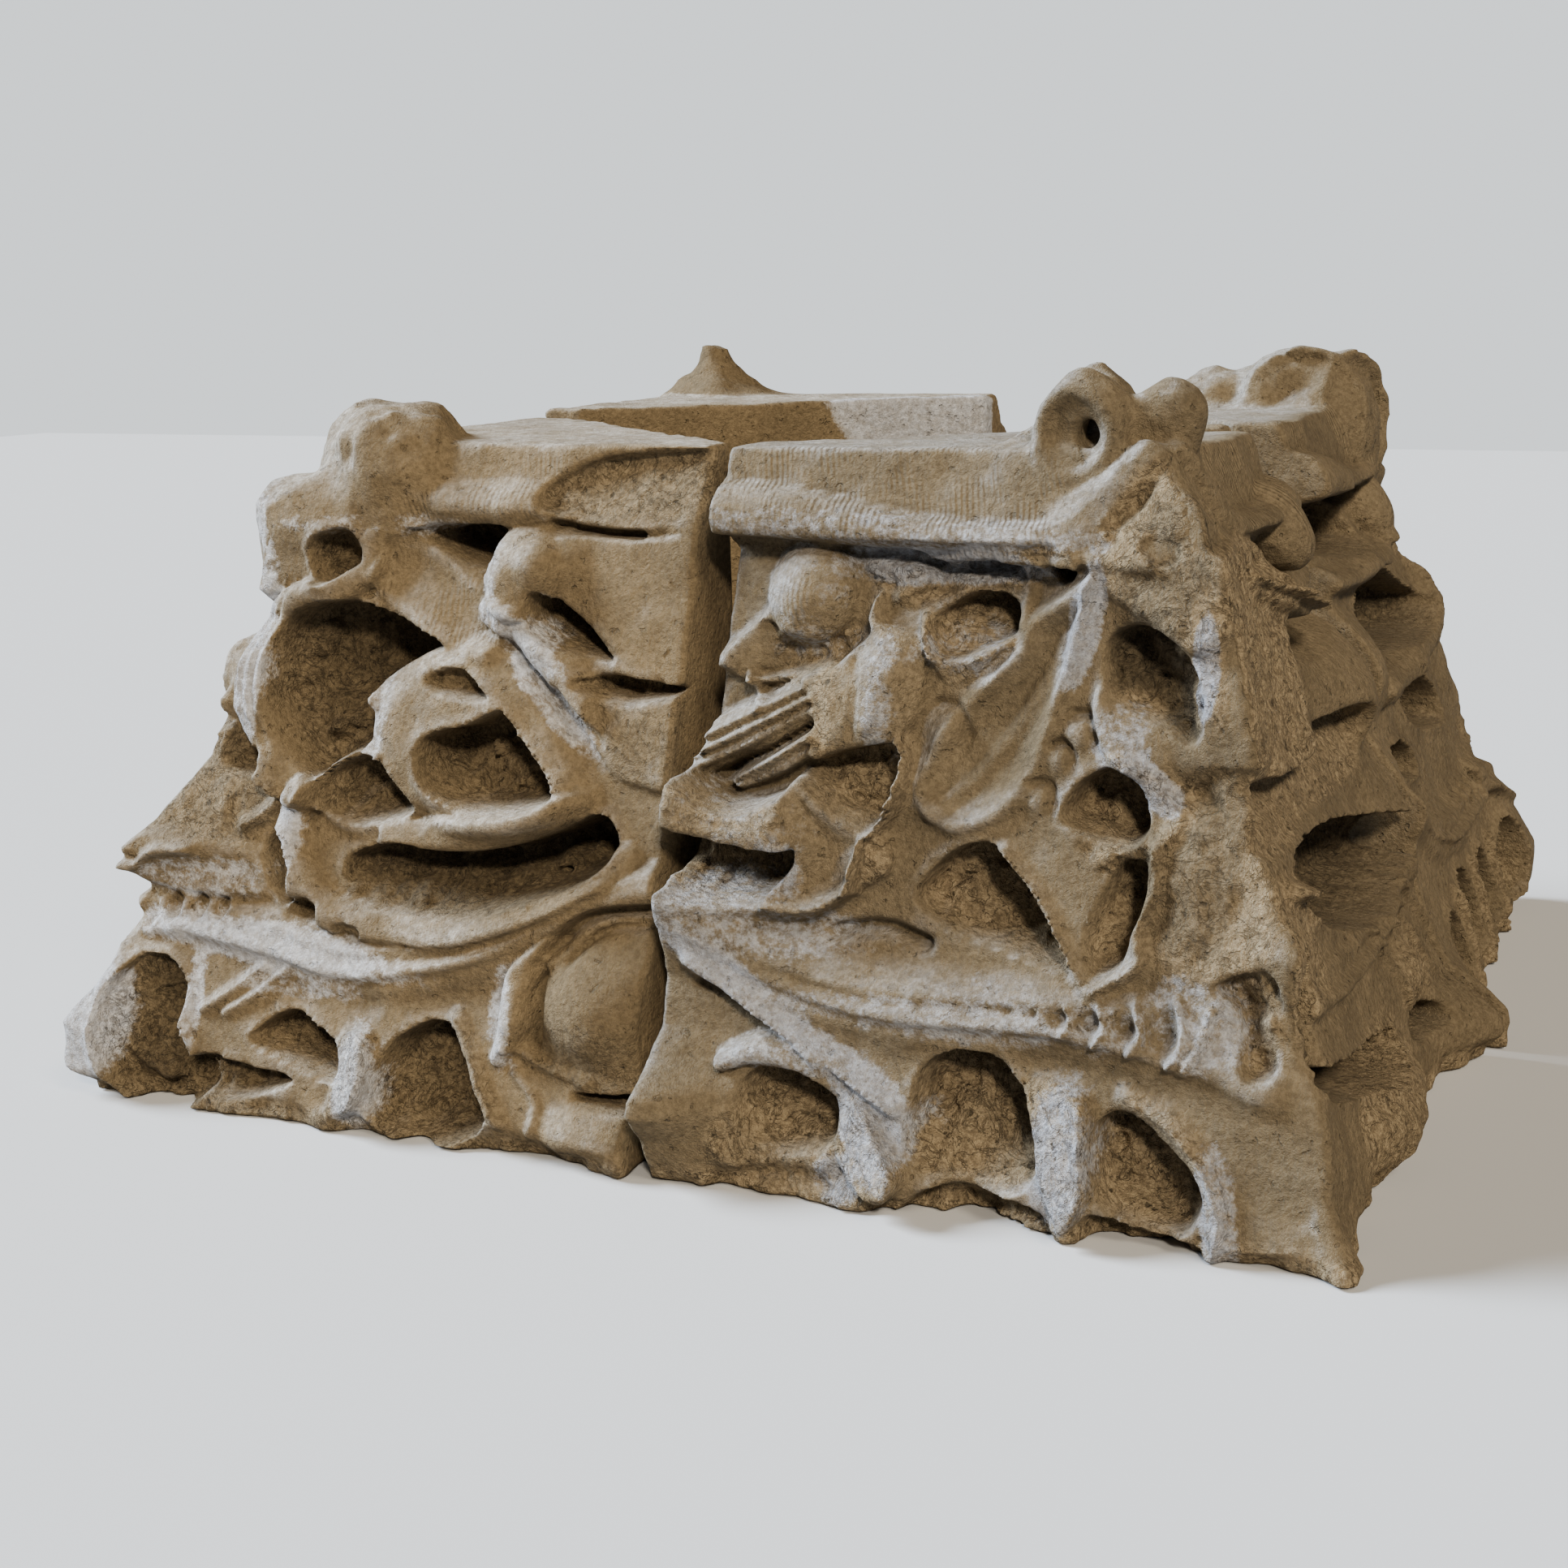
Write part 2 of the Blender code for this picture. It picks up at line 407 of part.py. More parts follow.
def torn_half_lobes(face):
    """The cup, the fluted leaf that sweeps down from the corner, and the pockets of the side lobes."""
    cup = [(0.172, 0.392), (0.180, 0.405), (0.205, 0.417), (0.228, 0.416), (0.239, 0.400), (0.234, 0.384)]
    face.pocket(cup + [(0.208, 0.374), (0.186, 0.372)], 0.034, 0.008, lean=(0.15, 0.35), lip=0.012)
    face.pocket([(0.232, 0.447), (0.248, 0.438), (0.266, 0.424), (0.277, 0.434), (0.275, 0.449),
                 (0.255, 0.452)], 0.034, 0.006)
    # The fluted leaf: a broad trough with ridges along it
    blade = [(0.296, 0.432), (0.278, 0.424), (0.246, 0.402), (0.240, 0.380), (0.210, 0.352),
             (0.186, 0.316)]
    blade += [(0.178, 0.282), (0.205, 0.262), (0.240, 0.272), (0.262, 0.300), (0.276, 0.345),
              (0.292, 0.395)]
    face.sheet(blade, 0.008, 0.010, dish=0.014)
    # The side lobes
    p4 = [(0.186, 0.214), (0.193, 0.233), (0.208, 0.248), (0.226, 0.256), (0.242, 0.253), (0.262, 0.234)]
    p4 += [(0.280, 0.214), (0.294, 0.194), (0.303, 0.178), (0.282, 0.180), (0.250, 0.187), (0.214, 0.196)]
    face.pocket(p4, 0.055, 0.009, lean=(0.20, 0.60), lip=0.003)
    p5 = [(0.300, 0.386), (0.312, 0.400), (0.335, 0.400), (0.354, 0.389), (0.368, 0.368), (0.374, 0.342)]
    p5 += [(0.366, 0.326), (0.345, 0.336), (0.322, 0.344), (0.304, 0.360)]
    face.pocket(p5, 0.046, 0.010, lean=(0.10, 0.45), lip=0.004)
    face.sheet([(0.302, 0.358), (0.326, 0.342), (0.356, 0.330), (0.362, 0.312), (0.336, 0.306),
                (0.318, 0.314), (0.296, 0.330)], 0.010, 0.008)
    face.pocket([(0.282, 0.276), (0.290, 0.296), (0.306, 0.308), (0.322, 0.308), (0.338, 0.292),
                 (0.342, 0.270), (0.328, 0.258), (0.300, 0.264)], 0.046, 0.009, lean=(0.25, 0.45),
                lip=0.003)
    face.rib([(0.318, 0.314), (0.342, 0.300), (0.362, 0.280), (0.352, 0.262)], 0.012, 0.012, CREST)
    face.pocket([(0.318, 0.238), (0.330, 0.250), (0.346, 0.246), (0.344, 0.222), (0.337, 0.204),
                 (0.330, 0.184), (0.314, 0.178), (0.310, 0.196)], 0.040, 0.008, lean=(0.2, 0.2))
    face.rib([(0.350, 0.262), (0.352, 0.236), (0.342, 0.212), (0.345, 0.190), (0.320, 0.172)], 0.008,
             0.014, CREST)
    # The corner below the scroll, broken away in coarse steps
    face.sheet([(0.290, 0.446), (0.302, 0.420), (0.330, 0.406), (0.372, 0.386), (0.40, 0.44), (0.35, 0.51),
                (0.312, 0.50)], 0.010, 0.010)
    face.pocket([(0.320, 0.452), (0.330, 0.464), (0.350, 0.458), (0.352, 0.444), (0.336, 0.438)], 0.028,
                0.008)
    face.pocket([(0.292, 0.464), (0.306, 0.484), (0.326, 0.496), (0.322, 0.476), (0.304, 0.462)], 0.020,
                0.007)


def torn_half_foot(face):
    """The great rib, its thumb marks, and the lowest leaves with their broken legs."""
    face.rib([(-0.01, 0.222), (0.03, 0.210), (0.07, 0.203), (0.110, 0.202), (0.142, 0.220)],
             (0.012, 0.012, 0.010, 0.008), (0.010, 0.012, 0.014, 0.012), CREST)
    face.rib([(-0.01, 0.205), (0.04, 0.182), (0.09, 0.160), (0.15, 0.147), (0.22, 0.146),
                  (0.30, 0.148), (0.38, 0.138), (0.43, 0.125)], (0.030, 0.038, 0.034, 0.030, 0.026),
           (0.006, 0.014, 0.016, 0.014, 0.010))
    face.rib([(0.130, 0.188), (0.165, 0.194), (0.195, 0.186)], 0.009, -0.014)
    thumb_marks(face, [(0.289, 0.152, 0.9), (0.310, 0.152, 1.0), (0.333, 0.151, 1.2), (0.358, 0.150, 1.3)])
    face.pocket([(0.395, 0.180), (0.430, 0.194), (0.442, 0.170), (0.440, 0.130), (0.420, 0.128),
                 (0.412, 0.160)], 0.024, 0.008)
    # The branch that falls away from the rib, and the shelf below it
    face.rib([(0.030, 0.166), (0.060, 0.150), (0.100, 0.126), (0.140, 0.106), (0.186, 0.080)],
             (0.010, 0.010, 0.010, 0.009), (0.010, 0.018, 0.020, 0.014), CREST)
    face.rib([(0.062, 0.101), (0.085, 0.109), (0.115, 0.106), (0.145, 0.090)], (0.008, 0.011, 0.010,
                                                                                0.006), (0.020, 0.020,
                                                                                         0.014, 0.006),
             CORD)
    q1 = [(0.070, 0.074), (0.080, 0.094), (0.104, 0.100), (0.128, 0.094), (0.147, 0.078), (0.148, 0.060)]
    face.pocket(q1 + [(0.136, 0.046), (0.105, 0.042), (0.078, 0.052)], 0.042, 0.010, lean=(0.2, 0.7),
                lip=0.003)
    leg_one = [(0.147, 0.088), (0.166, 0.080), (0.184, 0.060), (0.199, 0.040), (0.186, 0.020),
               (0.166, 0.030)]
    face.sheet(leg_one + [(0.149, 0.048)], 0.016, 0.005, lean=(0.45, 0.0))
    q2 = [(0.196, 0.080), (0.203, 0.108), (0.222, 0.121), (0.246, 0.123), (0.266, 0.112), (0.280, 0.090)]
    q2 += [(0.289, 0.062), (0.284, 0.040), (0.250, 0.034), (0.212, 0.036), (0.197, 0.054)]
    face.pocket(q2, 0.054, 0.010, lean=(0.10, 0.55), lip=0.003)
    leg_two = [(0.274, 0.104), (0.292, 0.112), (0.321, 0.102), (0.323, 0.070), (0.327, 0.046),
               (0.314, 0.020)]
    face.sheet(leg_two + [(0.300, 0.034), (0.288, 0.058)], 0.014, 0.005, lean=(0.50, 0.0))
    q3 = [(0.324, 0.080), (0.334, 0.094), (0.350, 0.095), (0.374, 0.080), (0.394, 0.062), (0.400, 0.044)]
    face.pocket(q3 + [(0.388, 0.024), (0.352, 0.026), (0.328, 0.044)], 0.052, 0.010, lean=(0.35, 0.40),
                lip=0.003)
    face.rib([(0.345, 0.106), (0.378, 0.092), (0.402, 0.066), (0.412, 0.038), (0.408, 0.012)],
             (0.009, 0.010, 0.012, 0.010), (0.010, 0.014, 0.016, 0.012), CREST)
    face.pocket([(0.200, 0.020), (0.225, 0.036), (0.270, 0.034), (0.300, 0.022), (0.296, 0.008),
                 (0.200, 0.008)], 0.022, 0.008)
    face.pocket([(0.326, 0.030), (0.360, 0.026), (0.400, 0.018), (0.390, 0.006), (0.326, 0.008)], 0.020,
                0.008)


def worn_half(face):
    """The half face that has lost most of its upper leaf: the near half of the right side."""
    foot_of_slab(face)
    slab_roll(face)
    joint_swell(face, low=True)
    face.ball((0.176, 0.432), BALL_RADIUS + 0.004, 0.036)
    face.rib([(0.190, 0.400), (0.140, 0.392), (0.095, 0.384), (0.060, 0.388)], (0.012, 0.018, 0.016, 0.008),
             (0.010, 0.026, 0.034, 0.016), CREST)
    face.rib([(0.180, 0.366), (0.120, 0.352), (0.060, 0.346)], 0.014, -0.016)
    face.mound((0.085, 0.312), (0.075, 0.046), 0.022)
    # The flat, broken ground, its step and the ledge below it
    lost = [(0.222, 0.440), (0.198, 0.388), (0.212, 0.340), (0.236, 0.294), (0.300, 0.292), (0.370, 0.298),
            (0.420, 0.312), (0.412, 0.380), (0.400, 0.440), (0.300, 0.452)]
    face.sheet(lost, 0.012, 0.006)
    face.sheet([(0.060, 0.300), (0.230, 0.294), (0.300, 0.290), (0.390, 0.298), (0.420, 0.262),
                (0.340, 0.246), (0.240, 0.250), (0.080, 0.244)], -0.006, 0.006, lean=(0.0, -0.35))
    face.pocket([(0.240, 0.462), (0.290, 0.466), (0.316, 0.450), (0.290, 0.434), (0.245, 0.442)], 0.024,
                0.008)
    slot = [(0.345, 0.226), (0.330, 0.242), (0.270, 0.238), (0.190, 0.226), (0.100, 0.212), (0.030, 0.200)]
    face.pocket(slot + [(0.030, 0.176), (0.110, 0.170), (0.200, 0.172), (0.290, 0.184), (0.330, 0.200)],
                0.052, 0.010, lean=(0.0, 0.8), lip=0.003)
    face.rib([(0.400, 0.236), (0.365, 0.226), (0.342, 0.222)], 0.010, 0.018, CREST)
    face.rib([(0.00, 0.160), (0.06, 0.158), (0.12, 0.154), (0.20, 0.150), (0.30, 0.152), (0.40, 0.160),
              (0.44, 0.160)], (0.016, 0.020, 0.018, 0.016), (0.006, 0.010, 0.008, 0.006))
    upper = [(0.200, 0.084), (0.250, 0.096), (0.330, 0.108), (0.410, 0.122), (0.452, 0.128), (0.430, 0.106)]
    face.pocket(upper + [(0.340, 0.082), (0.250, 0.070)], 0.044, 0.009, lip=0.003)
    face.mound((0.270, 0.052), (0.110, 0.040), 0.026)
    face.pocket([(0.150, 0.070), (0.110, 0.078), (0.060, 0.066), (0.060, 0.052), (0.120, 0.050)], 0.030,
                0.008)
    face.mound((0.120, 0.106), (0.040, 0.026), 0.016)
    face.pocket([(0.400, 0.196), (0.432, 0.200), (0.448, 0.150), (0.440, 0.120), (0.415, 0.122),
                 (0.405, 0.150)], 0.026, 0.008)


def whole_half(face):
    """The half face with every lobe in place: the far half of the right side, and the hidden faces."""
    foot_of_slab(face)
    slab_roll(face)
    joint_swell(face, low=True)
    face.ball((0.262, 0.424), BALL_RADIUS, 0.026)
    face.rib([(0.330, 0.420), (0.290, 0.396), (0.230, 0.386), (0.160, 0.384), (0.080, 0.380), (0.00, 0.386)],
             (0.014, 0.020, 0.018, 0.014), (0.008, 0.020, 0.022, 0.014))
    face.rib([(0.372, 0.380), (0.352, 0.330), (0.300, 0.306), (0.220, 0.302), (0.130, 0.300),
              (0.050, 0.306)], (0.016, 0.020, 0.018, 0.012), (0.012, 0.020, 0.018, 0.010))
    lobes = (
        ((0.130, 0.420), (0.090, 0.018), 0.0),
        ((0.190, 0.344), (0.120, 0.026), 0.0),
        ((0.200, 0.262), (0.085, 0.022), 0.1),
        ((0.340, 0.268), (0.034, 0.024), -0.4),
        ((0.065, 0.250), (0.034, 0.020), -0.2),
        ((0.262, 0.212), (0.036, 0.018), -0.3),
        ((0.150, 0.212), (0.044, 0.018), -0.2),
        ((0.356, 0.212), (0.030, 0.022), -0.3),
    )
    for centre, radii, turn in lobes:
        ring = []
        for a in np.linspace(0, 2 * math.pi, 9, endpoint=False):
            reach = 1 + 0.14 * math.sin(3 * a + 40 * centre[0])
            along_ring, across = radii[0] * reach * math.cos(a), radii[1] * reach * math.sin(a)
            ring.append((centre[0] + along_ring * math.cos(turn) - across * math.sin(turn),
                         centre[1] + along_ring * math.sin(turn) + across * math.cos(turn)))
        face.pocket(ring, 0.044, 0.010, lean=(0.1, 0.5), lip=0.004)
    face.rib([(0.00, 0.205), (0.06, 0.182), (0.12, 0.160), (0.20, 0.146), (0.30, 0.146), (0.38, 0.150),
                  (0.44, 0.150)], (0.026, 0.030, 0.028, 0.024), (0.010, 0.014, 0.014, 0.010))
    thumb_marks(face, [(0.280 + 0.022 * i, 0.158, 0.7 + 0.1 * i) for i in range(6)])
    feet = ((0.100, 0.034, 0.100), (0.205, 0.042, 0.112), (0.318, 0.042, 0.106), (0.424, 0.034, 0.112))
    for middle, reach, top in feet:
        ring = [(middle - reach, 0.060), (middle - 0.7 * reach, top - 0.018), (middle - 0.1 * reach, top)]
        ring += [(middle + 0.6 * reach, top - 0.014), (middle + reach, 0.055), (middle + 0.7 * reach,
                                                                                0.028)]
        face.pocket(ring + [(middle - 0.4 * reach, 0.026)], 0.046, 0.011, lean=(0.1, 0.5), lip=0.005)


# ---------------------------------------------------------------- solids


def mesh_object(name, vertices, faces):
    """An object with a mesh made from points and faces, its faces turned outwards."""
    mesh = bpy.data.meshes.new(name)
    mesh.from_pydata([tuple(v) for v in vertices], [], [tuple(f) for f in faces])
    form = bmesh.new()
    form.from_mesh(mesh)
    bmesh.ops.recalc_face_normals(form, faces=form.faces)
    form.to_mesh(mesh)
    form.free()
    made = bpy.data.objects.new(name, mesh)
    bpy.context.scene.collection.objects.link(made)
    return made


def carved_slab(name, design, corner, across, outward):
    """A thick slab whose outer side is a carved half face.

    across is the direction away from the joint and outward the direction that the face looks in.
    """
    s = np.arange(-OVERRUN, REACH + OVERRUN, SHEET_PITCH)
    z = np.arange(-OVERRUN, TALL_BED + OVERRUN, SHEET_PITCH)
    face = Face(s, z)
    design(face)
    corner_swell(face, corner)
    keep_corner(face)
    chipped_foot(face)
    out = FOOT_HALF - TAPER * face.z + face.height
    rows, columns = face.s.shape
    vertices = []
    for reach in (out, np.zeros_like(out)):
        place = face.s[..., None] * np.array(across) + reach[..., None] * np.array(outward)
        place[..., 2] = face.z - UNDERSIDE
        vertices.append(place.reshape(-1, 3))
    half = rows * columns
    front = np.arange(half).reshape(rows, columns)
    quads = np.stack([front[:-1, :-1], front[1:, :-1], front[1:, 1:], front[:-1, 1:]], -1).reshape(-1, 4)
    edge = np.concatenate([front[:-1, 0], front[-1, :-1], front[:0:-1, -1], front[0, :0:-1]])
    sides = np.stack([edge, np.roll(edge, -1), np.roll(edge, -1) + half, edge + half], -1)
    return mesh_object(name, np.vstack(vertices), np.vstack([quads, quads[:, ::-1] + half, sides]))


def prism(name, outline, low, high):
    """An upright prism on an outline in plan."""
    count = len(outline)
    vertices = [(x, y, z) for z in (low, high) for x, y in outline]
    sides = [(i, (i + 1) % count, count + (i + 1) % count, count + i) for i in range(count)]
    return mesh_object(name, vertices, sides + [range(count), range(count, 2 * count)])


def lump(name, centre, radii, tilt=0.0):
    """A rounded lump, longer one way than another, turned about Z."""
    form = bmesh.new()
    bmesh.ops.create_icosphere(form, subdivisions=2, radius=1.0)
    c, n = math.cos(math.radians(tilt)), math.sin(math.radians(tilt))
    for v in form.verts:
        x, y, z = (v.co[i] * radii[i] for i in range(3))
        v.co = (centre[0] + c * x - n * y, centre[1] + n * x + c * y, centre[2] + z)
    mesh = bpy.data.meshes.new(name)
    form.to_mesh(mesh)
    form.free()
    made = bpy.data.objects.new(name, mesh)
    bpy.context.scene.collection.objects.link(made)
    return made


def turned(name, centre, facing, profile, sides=18):
    """A turned solid from (radius, forward) points, along an axis that faces the way given."""
    form = bmesh.new()
    start = [form.verts.new((radius, 0.0, forward)) for radius, forward in profile]
    edges = [form.edges.new(pair) for pair in zip(start, start[1:])]
    bmesh.ops.spin(form, geom=start + edges, cent=(0, 0, 0), axis=(0, 0, 1), angle=2 * math.pi,
                   steps=sides)
    bmesh.ops.remove_doubles(form, verts=form.verts, dist=MERGE)
    bmesh.ops.recalc_face_normals(form, faces=form.faces)
    turn = Vector((0, 0, 1)).rotation_difference(Vector(facing))
    for v in form.verts:
        v.co = turn @ v.co + Vector(centre)
    mesh = bpy.data.meshes.new(name)
    form.to_mesh(mesh)
    form.free()
    made = bpy.data.objects.new(name, mesh)
    bpy.context.scene.collection.objects.link(made)
    return made


def arch(name, centre, facing, radius, thick):
    """An upright disc with straight sides below its middle; facing is the way it looks, in plan."""
    forward = np.array((*facing, 0.0)) / np.hypot(*facing)
    right = np.cross(forward, (0.0, 0.0, 1.0))
    ring = [(radius * math.cos(a), radius * math.sin(a)) for a in np.linspace(0, math.pi, 11)]
    ring += [(-radius, -2.6 * radius), (radius, -2.6 * radius)]
    count = len(ring)
    vertices = []
    for depth in (-thick, thick):
        for across, up in ring:
            vertices.append(np.array(centre) + across * right + depth * forward + np.array((0.0, 0.0, up)))
    sides = [(i, (i + 1) % count, count + (i + 1) % count, count + i) for i in range(count)]
    return mesh_object(name, vertices, sides + [range(count), range(count, 2 * count)])


def combine(target, other, operation):
    """Changes target by a Boolean with another object, which is then taken away."""
    change = target.modifiers.new(operation.title(), "BOOLEAN")
    change.operation = operation
    change.solver = "EXACT"
    change.object = other
    settle(target)
    bpy.data.objects.remove(other)


def settle(target):
    """Replaces an object's mesh with what its modifiers make of it."""
    graph = bpy.context.evaluated_depsgraph_get()
    mesh = bpy.data.meshes.new_from_object(target.evaluated_get(graph))
    target.modifiers.clear()
    target.data = mesh


def make_even(target):
    """Gives a solid one even skin, which has no folds or slivers in it."""
    change = target.modifiers.new("Even skin", "REMESH")
    change.mode = "VOXEL"
    change.voxel_size = SKIN_PITCH
    settle(target)


def thin_out(target, triangles):
    """Leaves about as many triangles as asked, fewest where the surface is flat."""
    have = sum(len(p.vertices) - 2 for p in target.data.polygons)
    change = target.modifiers.new("Thin out", "DECIMATE")
    change.ratio = min(1.0, triangles / have)
    settle(target)


# ---------------------------------------------------------------- the blocks


def block_outline(side, front):
    """A block in plan: joint faces, the shaft's flat wall, and well past the carved faces."""
    wide = REACH
    corner = SHAFT_HALF_DIAGONAL - JOINT
    plan = [(JOINT, corner), (JOINT, wide), (wide, wide), (wide, JOINT), (corner, JOINT)]
    return [(side * x, front * y) for x, y in plan]


def block(name, side, front, designs, corner, scroll, bed, clay):
    """One quarter block. side is -1 or 1 along X, front is -1 or 1 along Y."""
    made = carved_slab(name, designs[0], corner, (side, 0, 0), (0, front, 0))
    combine(made, carved_slab("side", designs[1], corner, (0, front, 0), (side, 0, 0)), "INTERSECT")
    make_even(made)
    thin_out(made, TRIANGLES)
    top = bed - UNDERSIDE
    combine(made, prism("envelope", block_outline(side, front), 0.0, top), "INTERSECT")
    for solid in scroll(side, front):
        combine(made, solid, "UNION")
    made.data.materials.clear()
    made.data.materials.append(clay)
    made.data.shade_smooth()
    made.data.set_sharp_from_angle(angle=math.radians(50))
    return made


def clay_material(name, colour):
    """Plain unglazed fired clay."""
    made = bpy.data.materials.new(name)
    made.use_nodes = True
    shader = made.node_tree.nodes["Principled BSDF"]
    shader.inputs["Base Color"].default_value = (*colour, 1.0)
    shader.inputs["Roughness"].default_value = 0.92
    shader.inputs["Metallic"].default_value = 0.0
    return made


def broken_scroll(x, y):
    """What is left of a corner scroll: a worn lump with a smaller one outside it."""
    return [
        lump("scroll", (0.302 * x, 0.292 * y, 0.480 - UNDERSIDE), (0.082, 0.058, 0.062), 45.0 * x * y),
        lump("outer lump", (0.356 * x, 0.328 * y, 0.446 - UNDERSIDE), (0.043, 0.043, 0.040), 0.0),
    ]


def ring_scroll(x, y):
    """Two upright coils back to back, one for each face, on a thick mass."""
    return [
        arch("scroll", (0.268 * x, 0.317 * y, 0.526 - UNDERSIDE), (-0.12 * x, y), 0.036, 0.018),
        arch("knob", (0.318 * x, 0.294 * y, 0.530 - UNDERSIDE), (x, 0.2 * y), 0.028, 0.026),
        lump("mass", (0.328 * x, 0.328 * y, 0.462 - UNDERSIDE), (0.056, 0.054, 0.050), 45.0 * x * y),
    ]


def round_scroll(x, y):
    """A full corner scroll, as thick as the corner, with its end curled over beside it."""
    return [
        lump("scroll", (0.297 * x, 0.288 * y, 0.490 - UNDERSIDE), (0.088, 0.072, 0.076), 45.0 * x * y),
        lump("curl", (0.238 * x, 0.270 * y, 0.506 - UNDERSIDE), (0.046, 0.042, 0.034), 0.0),
    ]


def pointed_scroll(x, y):
    """A scroll broken away on all sides, down to a blunt, four-sided point."""
    stump = [(0.0, -0.070), (0.076, -0.060), (0.088, 0.004), (0.062, 0.016), (0.036, 0.036),
             (0.018, 0.062)]
    stump += [(0.0, 0.065)]
    return [turned("scroll", (0.288 * x, 0.288 * y, 0.500 - UNDERSIDE), (0, 0, 1), stump, 4)]


def break_slab(made, side, front):
    """Takes away the slab beside the joint, which has broken off along a slope."""
    low, high, wide = BREAK_FOOT - UNDERSIDE, BED, 2 * REACH
    wedge = [(-JOINT, low), (BREAK_TOP, high), (-JOINT, high)]
    vertices = [(side * x, front * y, z) for y in (0.0, wide) for x, z in wedge]
    sides = [(0, 1, 4, 3), (1, 2, 5, 4), (2, 0, 3, 5)]
    combine(made, mesh_object("broken off", vertices, sides + [(0, 1, 2), (3, 4, 5)]), "DIFFERENCE")


def build():
    for old in list(bpy.data.objects):
        bpy.data.objects.remove(old)
    buff = (0.34, 0.245, 0.165)
    grey = (0.30, 0.235, 0.175)
    block("front_left_block", -1, -1, (scroll_half, whole_half), PLAIN_CORNER, broken_scroll, BED,
          clay_material("buff_terracotta_front_left", buff))
    block("front_right_block", 1, -1, (torn_half, worn_half), NEAR_CORNER, ring_scroll, BED,
          clay_material("buff_terracotta_front_right", grey))
    block("back_left_block", -1, 1, (whole_half, scroll_half), PLAIN_CORNER, pointed_scroll, TALL_BED,
          clay_material("buff_terracotta_back_left", buff))
    back_right = block("back_right_block", 1, 1, (scroll_half, whole_half), FAR_CORNER, round_scroll, BED,
                       clay_material("buff_terracotta_back_right", grey))
    break_slab(back_right, 1, 1)


build()
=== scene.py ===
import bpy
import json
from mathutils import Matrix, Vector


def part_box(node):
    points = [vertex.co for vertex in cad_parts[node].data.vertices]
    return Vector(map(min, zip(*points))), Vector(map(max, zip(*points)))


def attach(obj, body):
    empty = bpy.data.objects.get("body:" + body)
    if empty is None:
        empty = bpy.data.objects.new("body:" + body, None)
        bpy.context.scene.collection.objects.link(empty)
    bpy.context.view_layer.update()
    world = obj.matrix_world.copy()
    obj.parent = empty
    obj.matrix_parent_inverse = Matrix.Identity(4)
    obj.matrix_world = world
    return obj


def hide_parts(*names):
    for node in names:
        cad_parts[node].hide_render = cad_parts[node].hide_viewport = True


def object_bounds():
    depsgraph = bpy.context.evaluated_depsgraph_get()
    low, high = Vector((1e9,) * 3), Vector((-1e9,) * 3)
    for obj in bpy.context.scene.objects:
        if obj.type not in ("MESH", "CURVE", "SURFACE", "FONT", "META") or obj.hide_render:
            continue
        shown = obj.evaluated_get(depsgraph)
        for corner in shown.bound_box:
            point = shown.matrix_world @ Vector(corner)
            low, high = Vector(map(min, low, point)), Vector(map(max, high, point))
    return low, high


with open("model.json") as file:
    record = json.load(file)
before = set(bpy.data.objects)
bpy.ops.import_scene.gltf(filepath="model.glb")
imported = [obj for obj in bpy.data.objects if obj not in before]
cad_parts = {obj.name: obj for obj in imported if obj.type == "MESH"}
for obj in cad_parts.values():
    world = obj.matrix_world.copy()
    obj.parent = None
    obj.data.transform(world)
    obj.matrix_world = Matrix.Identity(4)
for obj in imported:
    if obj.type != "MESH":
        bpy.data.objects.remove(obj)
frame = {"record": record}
cad_box = [list(corner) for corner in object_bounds()]

import functools
import json
import math

import bpy
import numpy as np
from mathutils import Matrix, Vector

# ---------------------------------------------------------------- sizes, in metres

MOUNTS = {mount["name"]: mount["pos_m"] for mount in frame["record"]["mounts"]}
REACH = max(cad_box[1][0], cad_box[1][1], -cad_box[0][0], -cad_box[0][1])
LEAF_TIP = 0.0325  # how far the lowest leaf tips stand out past the foot of a face
FOOT_HALF = REACH - LEAF_TIP
TAPER = 1.0 / 3.0  # how far a face leans in for each metre of height
UNDERSIDE = 0.010  # heights on a face are counted from a line this far below the underside
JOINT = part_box("front_right_block")[0][0]  # middle plane to a joint face
SHAFT_HALF_DIAGONAL = 0.305
WALL_BACK = 0.010  # how far the front right block's joint wall is set back between two heights
WALL_HEIGHTS = (0.285, 0.438)
BREAK_FOOT = 0.440  # where the back right slab's break meets the joint
PITCH = 0.003  # spacing of the carving grid
MOST_TRIANGLES = 190000  # for each block
MARGIN = 4 * PITCH

# Sizes on a face, and all that is carved on it, in millimetres
ABACUS_FOOT = 450
BALL_RADIUS = 34

# How a rib's section falls from its middle to its sides: (1 - across ** first) ** second
SOFT = (2.0, 2.0)
CORD = (2.0, 0.5)
CREST = (1.0, 1.3)


# ---------------------------------------------------------------- curves on a face


def smooth_line(points, closed=False, steps=8):
    """A Catmull-Rom curve through the points, open or closed."""
    p = np.array(points, float)
    if closed:
        p = np.vstack([p[-1:], p, p[:2]])
    else:
        p = np.vstack([2 * p[:1] - p[1:2], p, 2 * p[-1:] - p[-2:-1]])
    t = np.linspace(0, 1, steps, endpoint=False)[:, None]
    runs = []
    for a, b, c, d in zip(p[:-3], p[1:-2], p[2:-1], p[3:]):
        bend = (2 * a - 5 * b + 4 * c - d) * t**2 + (3 * b - a - 3 * c + d) * t**3
        runs.append(0.5 * (2 * b + (c - a) * t + bend))
    runs.append(p[-2:-1])
    return np.vstack(runs)


